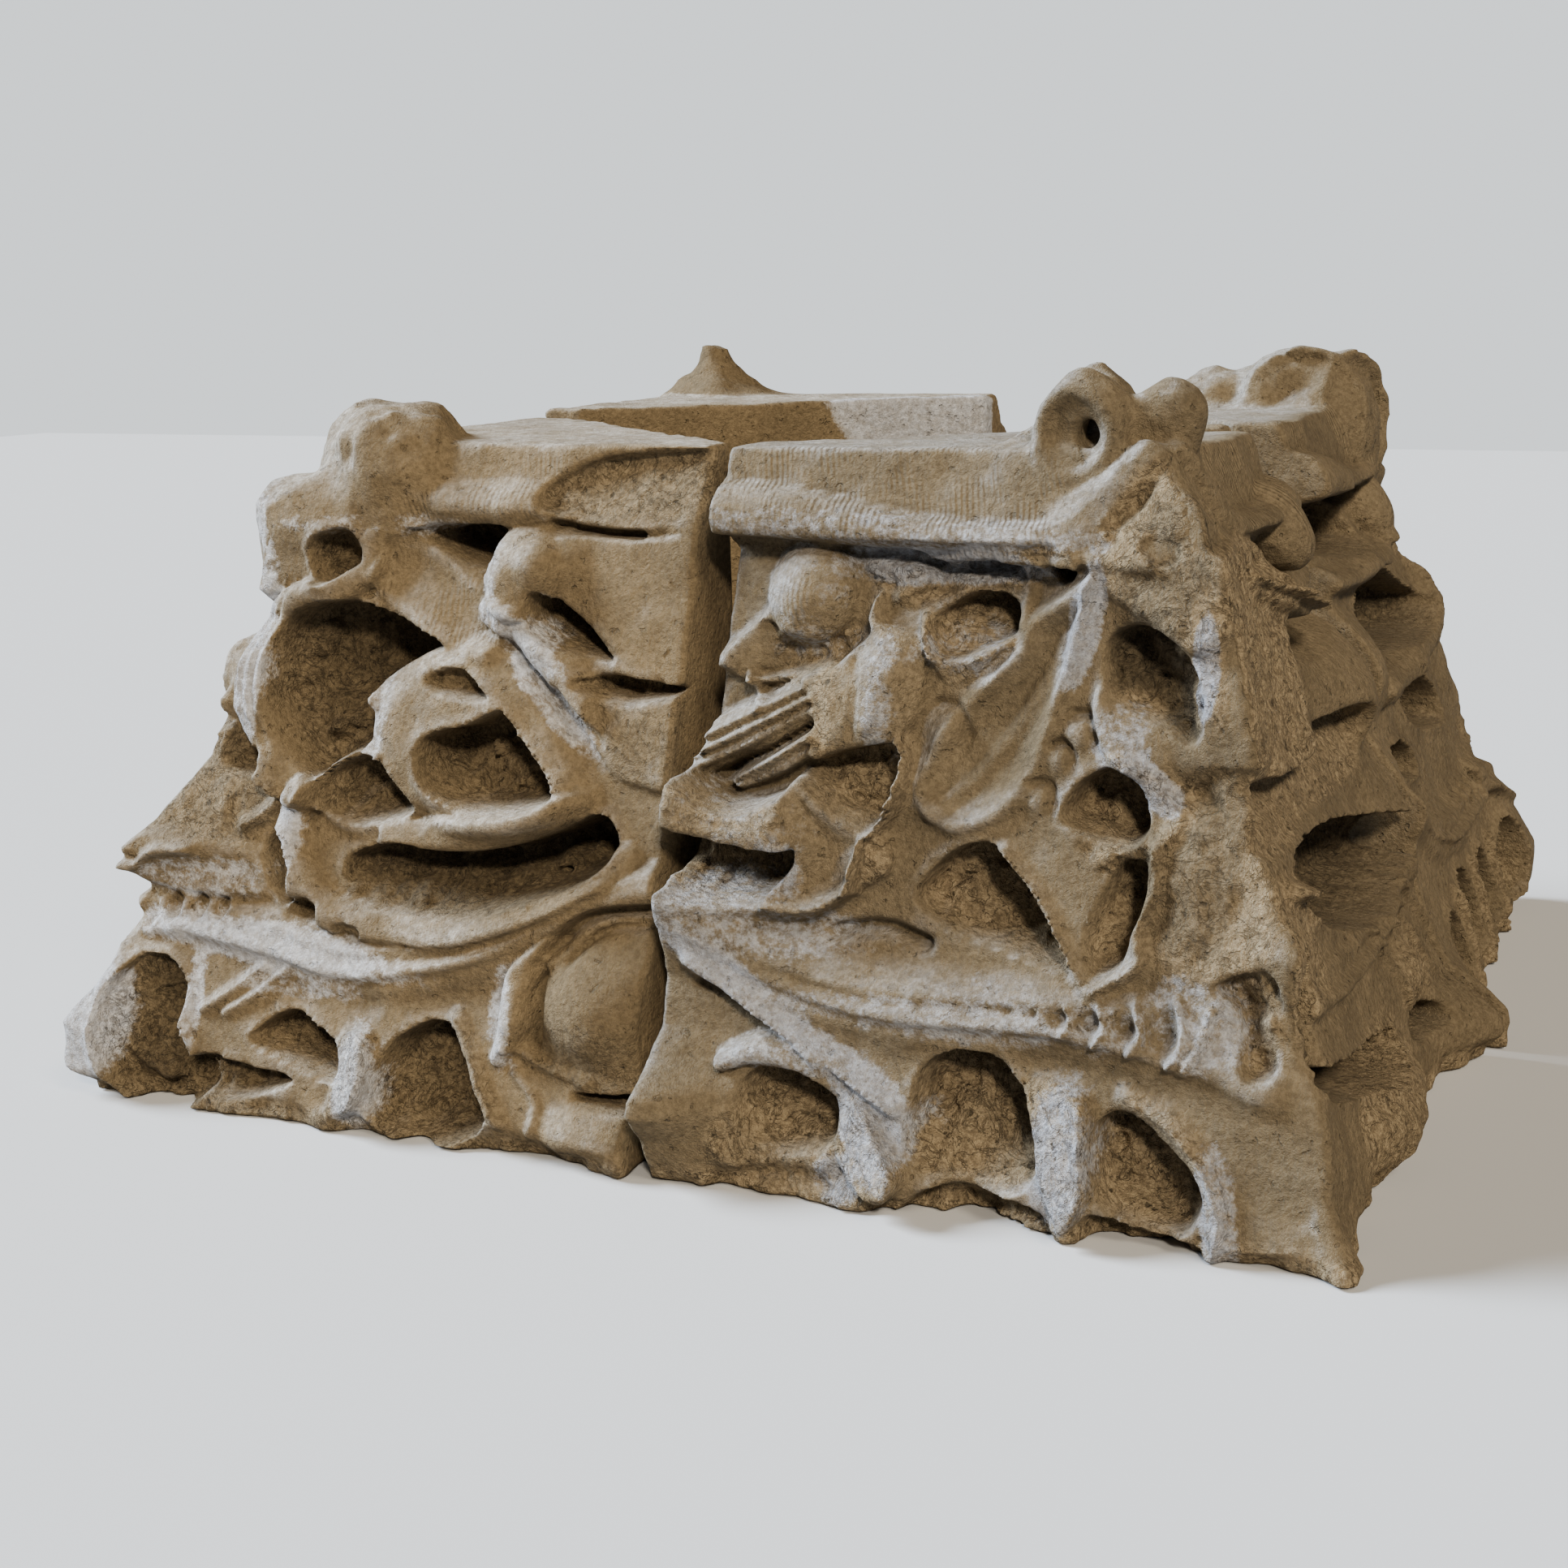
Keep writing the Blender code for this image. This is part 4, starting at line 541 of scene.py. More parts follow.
def torn_half_leaf(face):
    """The bell wall, the ball, the twin stems, the lip and the torn leaf over them."""
    face.sheet([(-20, 440), (150, 436), (170, 420), (140, 400), (112, 366), (100, 330), (100, 286), (50, 272),
            (-20, 290)], -8, 8, lean=(0.06, 0.0))
    face.ball((85, 414), BALL_RADIUS + 3, 24)
    face.mark(face.combed, [(55, 430), (75, 440), (95, 420), (85, 390), (60, 390)], 0.9)
    face.rib([(52, 395), (36, 380), (18, 366), (4, 348)], 8, 16, CREST, broken=0.3)
    face.sheet([(50, 392), (72, 378), (70, 362), (40, 358), (22, 366)], 0, 6, lean=(-0.4, 0.0))
    face.mark(face.hollow, [(60, 385), (120, 392), (120, 360), (70, 360)], 0.8)
    face.rib([(20, 360), (50, 352), (85, 358), (105, 365)], 6, 14, CREST, broken=0.4)
    face.rib([(44, 356), (50, 345), (58, 336)], 5, 14, CREST)
    face.rib([(-6, 292), (55, 322), (104, 348)], (17, 19, 16), (22, 26, 24), CORD, flutes=2)
    face.rib([(46, 286), (78, 304), (108, 324)], (10, 14, 14), (16, 24, 24), CORD, flutes=1.5)
    face.rib([(30, 286), (66, 306), (106, 332)], 6, -20)
    # The lip, a thick broken leaf edge, and the dark pocket under it
    face.pocket([(4, 240), (20, 252), (60, 252), (100, 246), (100, 222), (84, 209), (50, 204), (18, 210),
            (6, 222)], 52, 9, lean=(0.0, 0.3))
    face.sheet([(-20, 296), (10, 290), (38, 272), (60, 270), (85, 280), (101, 290), (101, 246), (60, 246),
            (25, 252), (-20, 266)], 44, 6, lean=(-0.12, 0.0), dish=-8, broken=0.55)
    face.rib([(-10, 276), (40, 262), (95, 262)], 4, -3)
    # The torn leaf: its upper sheet, its dark break, its lower sheet and its standing blade
    face.sheet([(138, 417), (132, 400), (134, 388), (120, 374), (108, 364), (88, 356), (100, 342), (102, 315),
            (108, 300), (150, 312), (172, 330), (178, 362), (172, 385), (150, 394), (142, 400)], 14, 5,
            lean=(-0.12, -0.05), dish=-7, broken=0.25)
    face.mound((152, 352), (26, 44), 10)
    face.mark(face.broken, [(100, 362), (116, 366), (118, 330), (114, 302), (100, 302)], 1.0, 6)
    face.rib([(128, 372), (134, 350), (132, 322)], 5, -4)
    face.sheet([(104, 300), (98, 284), (125, 272), (155, 262), (164, 285), (166, 312), (140, 312)], -20, 8,
            lean=(0.0, -0.2), broken=1.0)
    face.mark(face.hollow, [(104, 300), (100, 280), (155, 262), (165, 310)], 1.0)
    lower = [(100, 294), (92, 280), (99, 256), (100, 236), (84, 216), (82, 206), (110, 204), (136, 212),
            (147, 232), (151, 256), (125, 272)]
    face.sheet(lower, 26, 6, lean=(-0.25, 0.10), dish=12, broken=0.25)
    face.rib([(165, 318), (171, 300), (166, 278), (154, 258), (147, 236), (144, 220)], (6, 7, 7, 6),
            (24, 36, 34, 18), CREST, broken=0.5)
    face.sheet([(152, 256), (168, 248), (166, 232), (150, 224)], 12, 5, broken=1.0)


def torn_half_lobes(face):
    """The cup, the fluted leaf that sweeps down from the corner, and the pockets of the side lobes."""
    face.mark(face.hollow, [(125, 436), (235, 440), (230, 418), (150, 410)], 0.9)
    face.pocket([(176, 398), (186, 408), (206, 417), (230, 414), (238, 400), (234, 388), (214, 379),
            (198, 373), (184, 376), (178, 387)], 26, 6, lean=(0.25, 0.55), lip=3)
    face.rib([(172, 404), (176, 388), (186, 371), (202, 370), (218, 376), (234, 386)], 5, (6, 16, 20, 18, 8),
            CREST, broken=0.9)
    face.sheet([(184, 372), (190, 357), (206, 357), (230, 382), (214, 374)], 6, 4, lean=(0.0, 0.5),
            broken=0.5)
    face.pocket([(232, 447), (248, 438), (266, 424), (277, 434), (275, 449), (255, 452)], 34, 6)
    face.rib([(236, 446), (240, 425), (242, 398)], 6, 10, CREST)
    # The fluted leaf: a broad trough with ridges along it
    blade = [(296, 432), (278, 424), (246, 402), (240, 380), (210, 352), (186, 316), (178, 282), (205, 262),
            (240, 272), (262, 300), (276, 345), (292, 395)]
    face.sheet(blade, 9, 10, dish=16)
    for shift, tall in ((-34, 3), (-18, 4), (0, 5)):
        face.rib([(288 + 0.2 * shift, 428), (270 + 0.7 * shift, 388), (250 + shift, 340), (218 + shift, 296),
                (192 + 0.6 * shift, 272)], 9, tall)
    face.rib([(292, 440), (284, 405), (276, 372), (270, 345)], (6, 8, 6), (12, 12, 4), CREST)
    for centre, size in (((194, 328), 1.3), ((265, 286), 0.9), ((289, 330), 1.0), ((276, 313), 0.8)):
        face.mound(centre, (14 * size, 14 * size), 6)
        face.rib([(centre[0] - 6 * size, centre[1] + 12 * size),
                (centre[0] + 8 * size, centre[1] + 10 * size), (centre[0] + 12 * size, centre[1] - 4 * size)],
                5, -7)
    # The side lobes
    face.pocket([(186, 214), (193, 233), (208, 248), (226, 256), (242, 253), (262, 234), (280, 214),
            (294, 194), (303, 178), (282, 180), (250, 187), (214, 196)], 40, 9, lean=(0.20, 0.50), lip=2)
    face.rib([(246, 252), (276, 222), (300, 186), (314, 170)], 7, 10, CREST, broken=0.3)
    face.pocket([(300, 386), (312, 400), (335, 400), (354, 389), (368, 368), (374, 342), (366, 326),
            (345, 336), (322, 344), (304, 360)], 30, 9, lean=(0.40, 0.50), lip=2)
    face.mark(face.broken, [(312, 404), (345, 404), (372, 378), (380, 340), (388, 345), (380, 388),
            (350, 414), (312, 412)], 1.0, 6)
    face.sheet([(300, 360), (312, 346), (336, 336), (350, 326), (350, 308), (326, 306), (308, 320),
            (298, 340)], 8, 8, lean=(-0.2, 0.0), combed=0.7)
    face.pocket([(282, 276), (290, 296), (306, 308), (322, 308), (338, 292), (342, 270), (328, 258),
            (300, 264)], 46, 9, lean=(0.25, 0.45), lip=3)
    face.rib([(318, 314), (342, 300), (362, 280), (352, 262)], 10, 8, CREST, broken=1.0)
    face.mark(face.hollow, [(300, 262), (345, 262), (345, 240), (312, 244)], 1.0)
    face.pocket([(316, 232), (326, 250), (344, 250), (345, 222), (338, 204), (332, 184), (314, 178),
            (306, 200)], 34, 10, lean=(0.5, 0.2))
    face.rib([(350, 262), (352, 236), (342, 212), (345, 190), (320, 172)], 8, 14, CREST, broken=0.3)
    # The corner below the scroll, broken away in coarse steps
    face.sheet([(290, 446), (302, 420), (330, 406), (372, 386), (400, 440), (350, 510), (312, 500)], 10, 10,
            broken=1.0)
    face.pocket([(320, 452), (330, 464), (350, 458), (352, 444), (336, 438)], 28, 8)
    face.pocket([(292, 464), (306, 484), (326, 496), (322, 476), (304, 462)], 20, 7)
    face.mark(face.broken, [(360, 300), (352, 210), (370, 180), (430, 200), (430, 250), (400, 310)], 0.8)
    face.mound((375, 240), (20, 60), 6)


def torn_half_foot(face):
    """The great rib, its thumb marks, and the lowest leaves with their broken legs."""
    # Two darker stains by the corner, partly stain and partly painted shade.
    dust_and_painted_light_patches(face, (((345, 410), (45, 90), 0, -1.6), ((375, 265), (40, 95), 0, -1.5)))
    face.rib([(-10, 222), (30, 210), (70, 203), (110, 202), (142, 220)], (12, 12, 10, 8), (10, 12, 14, 12),
            CREST)
    midrib(face, [(-10, 205), (40, 182), (90, 160), (150, 147), (220, 146), (300, 148), (380, 138),
            (430, 125)], (30, 38, 34, 30, 26), (6, 14, 16, 14, 10))
    face.rib([(130, 188), (165, 194), (195, 186)], 9, -14)
    for place, size in ((262, 0.35), (280, 0.45), (298, 0.7), (318, 1.0), (341, 1.15), (367, 1.35)):
        middle = 153 - 0.05 * (place - 260)
        face.rib([(place + 4 * size, middle + 16 * size), (place + 10 * size, middle),
                (place + 4 * size, middle - 13 * size)], 4 * size, 7 * size, CREST)
        face.mound((place, middle), (10 * size, 14 * size), -10 * size)
    face.rib([(396, 166), (392, 148), (382, 128)], 8, 8, CREST, broken=0.4)
    face.pocket([(395, 180), (430, 194), (442, 170), (440, 130), (420, 128), (412, 160)], 24, 8)
    # The branch that falls away from the rib, and the shelf below it
    face.rib([(30, 166), (60, 150), (100, 126), (140, 106), (186, 80)], (10, 10, 10, 9), (10, 18, 20, 14),
            CREST)
    face.rib([(36, 148), (75, 132), (120, 108)], 6, -8)
    face.rib([(62, 101), (85, 109), (115, 106), (145, 90)], (8, 11, 10, 6), (20, 20, 14, 6), CORD)
    face.pocket([(70, 74), (80, 94), (104, 100), (128, 94), (147, 78), (148, 60), (136, 46), (105, 42),
            (78, 52)], 32, 9, lean=(0.2, 0.6), lip=2)
    face.mark(face.hollow, [(70, 70), (150, 70), (150, 20), (60, 30)], 0.8)
    face.sheet([(147, 88), (166, 80), (184, 60), (199, 40), (186, 20), (166, 30), (149, 48)], 16, 5,
            lean=(0.45, 0.0), broken=1.0)
    face.pocket([(196, 80), (203, 108), (222, 121), (246, 123), (266, 112), (280, 90), (289, 62), (284, 40),
            (250, 34), (212, 36), (197, 54)], 40, 9, lean=(0.15, 0.50), lip=2)
    face.sheet([(274, 104), (292, 112), (321, 102), (323, 70), (327, 46), (314, 20), (300, 34), (288, 58)],
            14, 5, lean=(0.50, 0.0), broken=1.0)
    face.pocket([(324, 80), (334, 94), (350, 95), (374, 80), (394, 62), (400, 44), (388, 24), (352, 26),
            (328, 44)], 42, 9, lean=(0.35, 0.40), lip=2)
    face.rib([(345, 106), (378, 92), (402, 66), (412, 38), (408, 12)], (9, 10, 12, 10), (10, 14, 16, 12),
            CREST, broken=0.6)
    face.pocket([(200, 20), (225, 36), (270, 34), (300, 22), (296, 8), (200, 8)], 22, 8)
    face.pocket([(326, 30), (360, 26), (400, 18), (390, 6), (326, 8)], 20, 8)


def worn_half(face):
    """The half face that has lost most of its upper leaf: the near half of the right side."""
    foot_of_slab(face)
    slab_roll(face)
    joint_swell(face, low=True)
    face.sheet([(-40, 452), (85, 452), (80, 540), (-40, 540)], -30, 6, broken=0.7)
    face.rib([(200, 370), (120, 362), (40, 372), (-20, 380)], (20, 24, 20), -26)
    face.mound((50, 312), (110, 50), 26)
    # The flat, broken ground, its step and the ledge below it
    lost = [(222, 440), (198, 388), (212, 340), (236, 294), (300, 292), (370, 298), (420, 312), (412, 380),
            (400, 440), (300, 452)]
    face.sheet(lost, 12, 6, broken=1.0)
    face.sheet([(60, 300), (230, 294), (300, 290), (390, 298), (420, 262), (340, 250), (240, 254), (80, 250)],
            -10, 6, lean=(0.0, -0.35), broken=0.8)
    face.ball((150, 446), BALL_RADIUS, 38)
    tongue = [(275, 424), (215, 408), (155, 392), (105, 382)]
    face.rib(tongue, (12, 22, 22, 10), (10, 26, 34, 22), CREST, flutes=2)
    face.pocket([(350, 228), (325, 246), (270, 244), (190, 238), (100, 222), (0, 204), (0, 176), (70, 162),
            (170, 158), (270, 176), (330, 202)], 62, 10, lean=(0.10, -0.20), lip=4)
    face.rib([(400, 236), (365, 226), (342, 222)], 10, 18, CREST, broken=0.8)
    midrib(face, [(0, 160), (60, 158), (120, 154), (200, 150), (300, 152), (400, 160), (440, 160)],
            (16, 20, 18, 16), (6, 10, 8, 6))
    for i in range(4):
        face.rib([(60 + 50 * i, 166), (20 + 50 * i, 130), (-10 + 50 * i, 88)], 8, 6, CREST)
    face.pocket([(200, 84), (250, 96), (330, 108), (410, 122), (452, 128), (430, 106), (340, 82), (250, 70)],
            56, 8, lean=(0.0, -0.2), lip=3)
    face.mound((270, 52), (110, 40), 26)
    face.pocket([(150, 70), (110, 78), (60, 66), (60, 52), (120, 50)], 30, 8)
    face.mound((120, 106), (40, 26), 16)
    face.pocket([(400, 196), (432, 200), (448, 150), (440, 120), (415, 122), (405, 150)], 26, 8)
    for centre, reach in (((270, 50), 110), ((420, 200), 100), ((100, 100), 50)):
        around = np.linspace(0, 2 * math.pi, 7)[:-1]
        ring = [(centre[0] + reach * math.cos(a), centre[1] + 0.5 * reach * math.sin(a)) for a in around]
        face.mark(face.broken, ring, 0.9, 30)


def whole_half(face):
    """The half face with every lobe in place: one on the right side, the left side and the back."""
    foot_of_slab(face)
    slab_roll(face)
    joint_swell(face, low=True)
    face.ball((262, 424), BALL_RADIUS, 26)
    stem = [(312, 402), (270, 392), (210, 386), (140, 385), (80, 383), (0, 386)]
    face.rib(stem, (14, 20, 18, 14), (8, 20, 22, 14))
    # A pale patch by the corner's foot: dust and a painted highlight.
    dust_and_painted_light_patches(face, (((480, 75), (35, 60), 0, 1.0),))
    sweep = [(384, 380), (376, 330), (335, 300), (240, 293), (140, 284), (60, 290)]
    face.rib(sweep, (14, 18, 16, 12), (12, 20, 18, 10))
    face.mound((20, 316), (100, 50), 24)
    for shift in (-10, 10):
        face.rib([(s, z + shift) for s, z in sweep], 6, 5, CREST)
    lobes = (((118, 416), (105, 22), 0.0), ((215, 338), (140, 38), -0.06), ((245, 252), (82, 27), -0.12),
            ((100, 226), (50, 16), -0.2))
    for centre, radii, turn in lobes:
        ring = []
        for a in np.linspace(0, 2 * math.pi, 9, endpoint=False):
            reach = 1 + 0.14 * math.sin(3 * a + 0.04 * centre[0])
            along_ring, across = radii[0] * reach * math.cos(a), radii[1] * reach * math.sin(a)
            ring.append((centre[0] + along_ring * math.cos(turn) - across * math.sin(turn),
                    centre[1] + along_ring * math.sin(turn) + across * math.cos(turn)))
        face.pocket(ring, 50, 11, lean=(0.1, -0.2), lip=4)
    midrib(face, [(0, 205), (60, 182), (120, 160), (200, 146), (300, 146), (380, 150), (440, 150)],
            (26, 30, 28, 24), (10, 14, 14, 10))
    for i in range(4):
        place, size = 280 + 22 * i, 0.7 + 0.1 * i
        face.pocket([(place - 9 * size, 158), (place, 158 + 13 * size), (place + 9 * size, 158),
                (place, 158 - 13 * size)], 11 * size, 7, lip=2, crumbly=0.2)
    for middle, reach, top in ((100, 34, 100), (205, 42, 112), (318, 42, 106), (424, 34, 112)):
        face.pocket([(middle - reach, 60), (middle - 0.7 * reach, top - 18), (middle - 0.1 * reach, top),
                (middle + 0.6 * reach, top - 14), (middle + reach, 55), (middle + 0.7 * reach, 28),
                (middle - 0.4 * reach, 26)], 46, 11, lean=(0.1, 0.5), lip=5)
        if middle < 400:
            face.rib([(middle + 1.25 * reach, 105), (middle + 1.3 * reach, 60), (middle + 1.2 * reach, 15)],
                    8, 10, CREST, broken=0.5)
    for end in (190, 156, 124):
        face.rib([(350, 172), (400, 0.5 * (172 + end)), (470, end)], 11, (4, 12, 10), CREST)


# ---------------------------------------------------------------- scrolls at the corners

# Each is shaped in metres at the corner where X and Y are above zero, and mirrored with its block.


def lump(p, centre, radii, turn=0.0, boxy=2.0):
    """Distance to an ellipsoid turned about Z, negative inside; it is boxier where boxy is above 2."""
    c, n = math.cos(turn), math.sin(turn)
    x, y, z = (p[i] - centre[i] for i in range(3))
    parts = (np.abs((c * x + n * y) / radii[0]), np.abs((c * y - n * x) / radii[1]), np.abs(z / radii[2]))
    return (sum(part**boxy for part in parts) ** (1 / boxy) - 1) * min(radii)


def slope(p, through, facing):
    """Distance to a flat cut through a point, negative behind it."""
    facing = np.array(facing, float) / np.linalg.norm(facing)
    return sum((p[i] - through[i]) * facing[i] for i in range(3))


def flat_on(p, centre, facing):
    """Places measured across, up and forward from the centre of a disc that faces some way."""
    facing = np.array(facing, float) / np.linalg.norm(facing)
    up = np.array((0.0, 0.0, 1.0)) - facing[2] * facing
    up /= np.linalg.norm(up)
    right = np.cross(up, facing)
    d = [p[i] - centre[i] for i in range(3)]
    return [sum(d[i] * way[i] for i in range(3)) for way in (right, up, facing)]


def rod(p, start, end, radius):
    """Distance to a straight round rod."""
    start, way = np.array(start), np.array(end) - np.array(start)
    d = [p[i] - start[i] for i in range(3)]
    share = np.clip(sum(d[i] * way[i] for i in range(3)) / (way @ way), 0, 1)
    return np.sqrt(sum((d[i] - share * way[i]) ** 2 for i in range(3))) - radius


def coil(p, centre, facing, radius, thick, turns, groove):
    """A round disc with a spiral groove on its face, wound inwards."""
    x, y, forward = flat_on(p, centre, facing)
    r = np.hypot(x, y)
    disc = soft_max(r - radius, np.abs(forward) - thick, 0.012)
    turn = np.arctan2(y, x) / (2 * math.pi)
    wave = 0.5 + 0.5 * np.cos(2 * math.pi * (r / radius * turns - turn))
    return disc + groove * wave**2 * ease((radius - r) / (0.3 * radius)) * ease(forward / thick)


def broken_scroll(p):
    """What is left of a corner scroll: a worn block with a smaller lump outside it."""
    block = lump(p, (0.300, 0.292, 0.480), (0.082, 0.056, 0.062), math.radians(-45), 2.8)
    block = soft_max(block, slope(p, (0.238, 0.300, 0.500), (-1.0, -0.3, 0.25)), 0.012)
    return soft_min(block, lump(p, (0.358, 0.330, 0.446), (0.042, 0.042, 0.040), 0.0, 2.6), 0.008)


def ring_scroll(p):
    """An upright ring around a slit, with a knob behind it, on a mass broken to a point like a tent."""
    x, y, forward = flat_on(p, (0.268, 0.318, 0.523), (-0.12, 1.0, 0.05))
    r = np.hypot(x / 0.86, y)
    rim = 0.013 + 0.007 * ease((r - 0.020) / 0.008) - 0.010 * ease((r - 0.032) / 0.010)
    ring = soft_max(r - 0.040, np.abs(forward) - rim, 0.004)
    slit = np.hypot((x + 0.008) / 0.0075, (y + 0.003) / 0.015) - 1
    ring = soft_max(ring, -0.007 * slit, 0.003)
    knob = soft_min(lump(p, (0.322, 0.296, 0.531), (0.026, 0.024, 0.027)),
                    lump(p, (0.300, 0.306, 0.524), (0.020, 0.013, 0.024)), 0.006)
    knob = soft_min(knob, lump(p, (0.316, 0.292, 0.508), (0.026, 0.026, 0.030)), 0.008)
    peak = (0.322, 0.322, 0.514)
    mass = soft_max(slope(p, peak, (-0.12, 0.775, 0.62)), slope(p, peak, (0.775, -0.12, 0.62)), 0.006)
    for cut in (slope(p, (0.0, 0.370, 0.455), (0, 3.0, 1.0)), slope(p, (0.366, 0.0, 0.455), (3.0, 0, 1.0)),
                slope(p, (0.0, 0.0, 0.440), (0, 0, -1.0)), slope(p, (0.27, 0.25, 0.0), (-1.0, -1.0, 0.0))):
        mass = soft_max(mass, cut, 0.006)
    for low, high in (((0.256, 0.350, 0.452), (0.318, 0.334, 0.510)),
                      ((0.352, 0.262, 0.460), (0.332, 0.318, 0.510))):
        mass = soft_min(mass, rod(p, low, high, 0.011), 0.005)
    for low, high in (((0.296, 0.368, 0.452), (0.322, 0.350, 0.488)),
                      ((0.364, 0.326, 0.452), (0.352, 0.326, 0.488))):
        mass = soft_max(mass, -rod(p, low, high, 0.009), 0.004)
    return soft_min(soft_min(ring, knob, 0.004), mass, 0.004)


def round_scroll(p):
    """A full corner scroll, thick and round, with a coil on each side and its end curled over."""
    body = lump(p, (0.296, 0.292, 0.488), (0.082, 0.066, 0.072), math.radians(-45))
    side = coil(p, (0.300, 0.262, 0.506), (0.35, -1.0, 0.15), 0.056, 0.034, 1.4, 0.010)
    outer = coil(p, (0.325, 0.285, 0.498), (1.0, -0.35, 0.1), 0.062, 0.030, 1.5, 0.010)
    curl = lump(p, (0.232, 0.270, 0.512), (0.050, 0.040, 0.034), math.radians(20))
    return soft_min(soft_min(body, curl, 0.02), soft_min(side, outer, 0.008), 0.010)


def pointed_scroll(p):
    """A scroll broken away on all sides, down to a blunt, four-sided point with hollowed flanks."""
    x, y = p[0] - 0.290, p[1] - 0.290
    c, n = math.cos(0.5), math.sin(0.5)
    across = soft_max(np.abs(c * x + n * y), np.abs(c * y - n * x), 0.012)
    up = np.clip((p[2] - 0.500) / 0.066, 0, 1)
    stump = np.maximum(0.7 * (across - 0.010 - 0.056 * (1 - up) ** 1.25), p[2] - 0.566)
    return soft_min(stump, lump(p, (0.300, 0.300, 0.455), (0.070, 0.050, 0.045), math.radians(-45)), 0.012)


# ---------------------------------------------------------------- the blocks


def net(field, low, pitch):
    """A skin of quads around the part of a grid where the field is below zero (surface nets)."""
    shape = np.array(field.shape)
    cells = shape - 1
    strides = np.array([cells[1] * cells[2], cells[2], 1])
    total = np.zeros((int(np.prod(cells)), 3), np.float32)
    count = np.zeros(int(np.prod(cells)), np.int32)
    crossings = []
    for axis in range(3):
        first = [slice(None)] * 3
        second = [slice(None)] * 3
        first[axis] = slice(None, -1)
        second[axis] = slice(1, None)
        a = field[tuple(first)]
        b = field[tuple(second)]
        change = (a < 0) != (b < 0)
        spot = np.argwhere(change)
        start = a[change]
        where = spot.astype(np.float32)
        where[:, axis] += start / (start - b[change])
        others = [i for i in range(3) if i != axis]
        keep = np.all((spot[:, others] >= 1) & (spot[:, others] < cells[others]), axis=1)
        spot, where, start = spot[keep], where[keep], start[keep]
        around = []
        for i, j in ((0, 0), (1, 0), (1, 1), (0, 1)):
            cell = spot.copy()
            cell[:, others[0]] -= i
            cell[:, others[1]] -= j
            flat = cell @ strides
            around.append(flat)
            count += np.bincount(flat, minlength=len(count)).astype(np.int32)
            for k in range(3):
                total[:, k] += np.bincount(flat, where[:, k], len(count)).astype(np.float32)
        quads = np.stack(around, -1)
        turned = (start < 0) == (axis != 1)
        quads[~turned] = quads[~turned][:, ::-1]
        crossings.append(quads)
    used = np.nonzero(count)[0]
    number = np.full(len(count), -1, np.int64)
    number[used] = np.arange(len(used))
    places = total[used] / count[used, None] * pitch + low
    return places, number[np.vstack(crossings)]


def quad_mesh(name, places, quads):
    """A mesh from arrays of points and quads."""
    mesh = bpy.data.meshes.new(name)
    mesh.vertices.add(len(places))
    mesh.vertices.foreach_set("co", places.astype(np.float32).ravel())
    mesh.loops.add(quads.size)
    mesh.loops.foreach_set("vertex_index", quads.astype(np.int32).ravel())
    mesh.polygons.add(len(quads))
    mesh.polygons.foreach_set("loop_start", np.arange(0, quads.size, 4, dtype=np.int32))
    mesh.update(calc_edges=True)
    mesh.validate()
    return mesh


def sample(grid, low, pitch, places):
    """A grid's values at some places, evened out between its points."""
    at = (places - low) / pitch
    total = 0
    base = np.clip(np.floor(at).astype(int), 0, np.array(grid.shape) - 2)
    part = np.clip(at - base, 0, 1)
    for corner in np.ndindex(*(2,) * grid.ndim):
        weight = np.prod([part[:, i] if c else 1 - part[:, i] for i, c in enumerate(corner)], axis=0)
        total = total + weight * grid[tuple(base[:, i] + c for i, c in enumerate(corner))]
    return total


def blurred(grid, reach):
    """A grid evened out over a square of the given half width, in points."""
    for axis in range(2):
        padded = np.concatenate([np.repeat(np.take(grid, [0], axis), reach + 1, axis), grid,
                                 np.repeat(np.take(grid, [-1], axis), reach, axis)], axis)
        run = np.cumsum(padded, axis)
        width = 2 * reach + 1
        grid = (np.take(run, range(width, run.shape[axis]), axis)
                - np.take(run, range(0, run.shape[axis] - width), axis)) / width
    return grid


def narrow(grid, reach):
    """How far each place stands above what is left when all that is thinner than twice the reach is gone."""
    worn = grid
    for pick in (np.minimum, np.maximum):
        for axis in range(2):
            line = np.moveaxis(worn, axis, 0)
            padded = np.concatenate([line[:1]] * reach + [line] + [line[-1:]] * reach)
            best = line
            for shift in range(2 * reach + 1):
                best = pick(best, padded[shift:shift + len(line)])
            worn = np.moveaxis(best, 0, axis)
    return grid - worn


def carved_face(design, s, z, corner, seed):
    """A finished half face: its design, the shared corner and foot, and the roughness of its breaks."""
    face = Face(s, z)
    design(face)
    corner_swell(face, corner)
    keep_corner(face)
    chipped_foot(face, seed + 31)
    shape = face.s.shape
    crumbled = np.maximum(face.hollow, face.broken)
    face.height += 2.2 * face.hollow * facets(shape, PITCH, 0.013, seed + 3)
    face.height += 3.6 * face.hollow * rough(shape, PITCH, 0.028, seed + 9, 3)
    face.height += 2.4 * rough(shape, PITCH, 0.022, seed, 4) * (0.30 + 0.35 * crumbled)
    face.height -= (crumbled + 1.6 * face.hollow) * np.abs(grain(shape, PITCH, 0.008, seed + 5))
    face.height += 2.2 * rough(shape, PITCH, 0.07, seed + 13, 2)
    return face


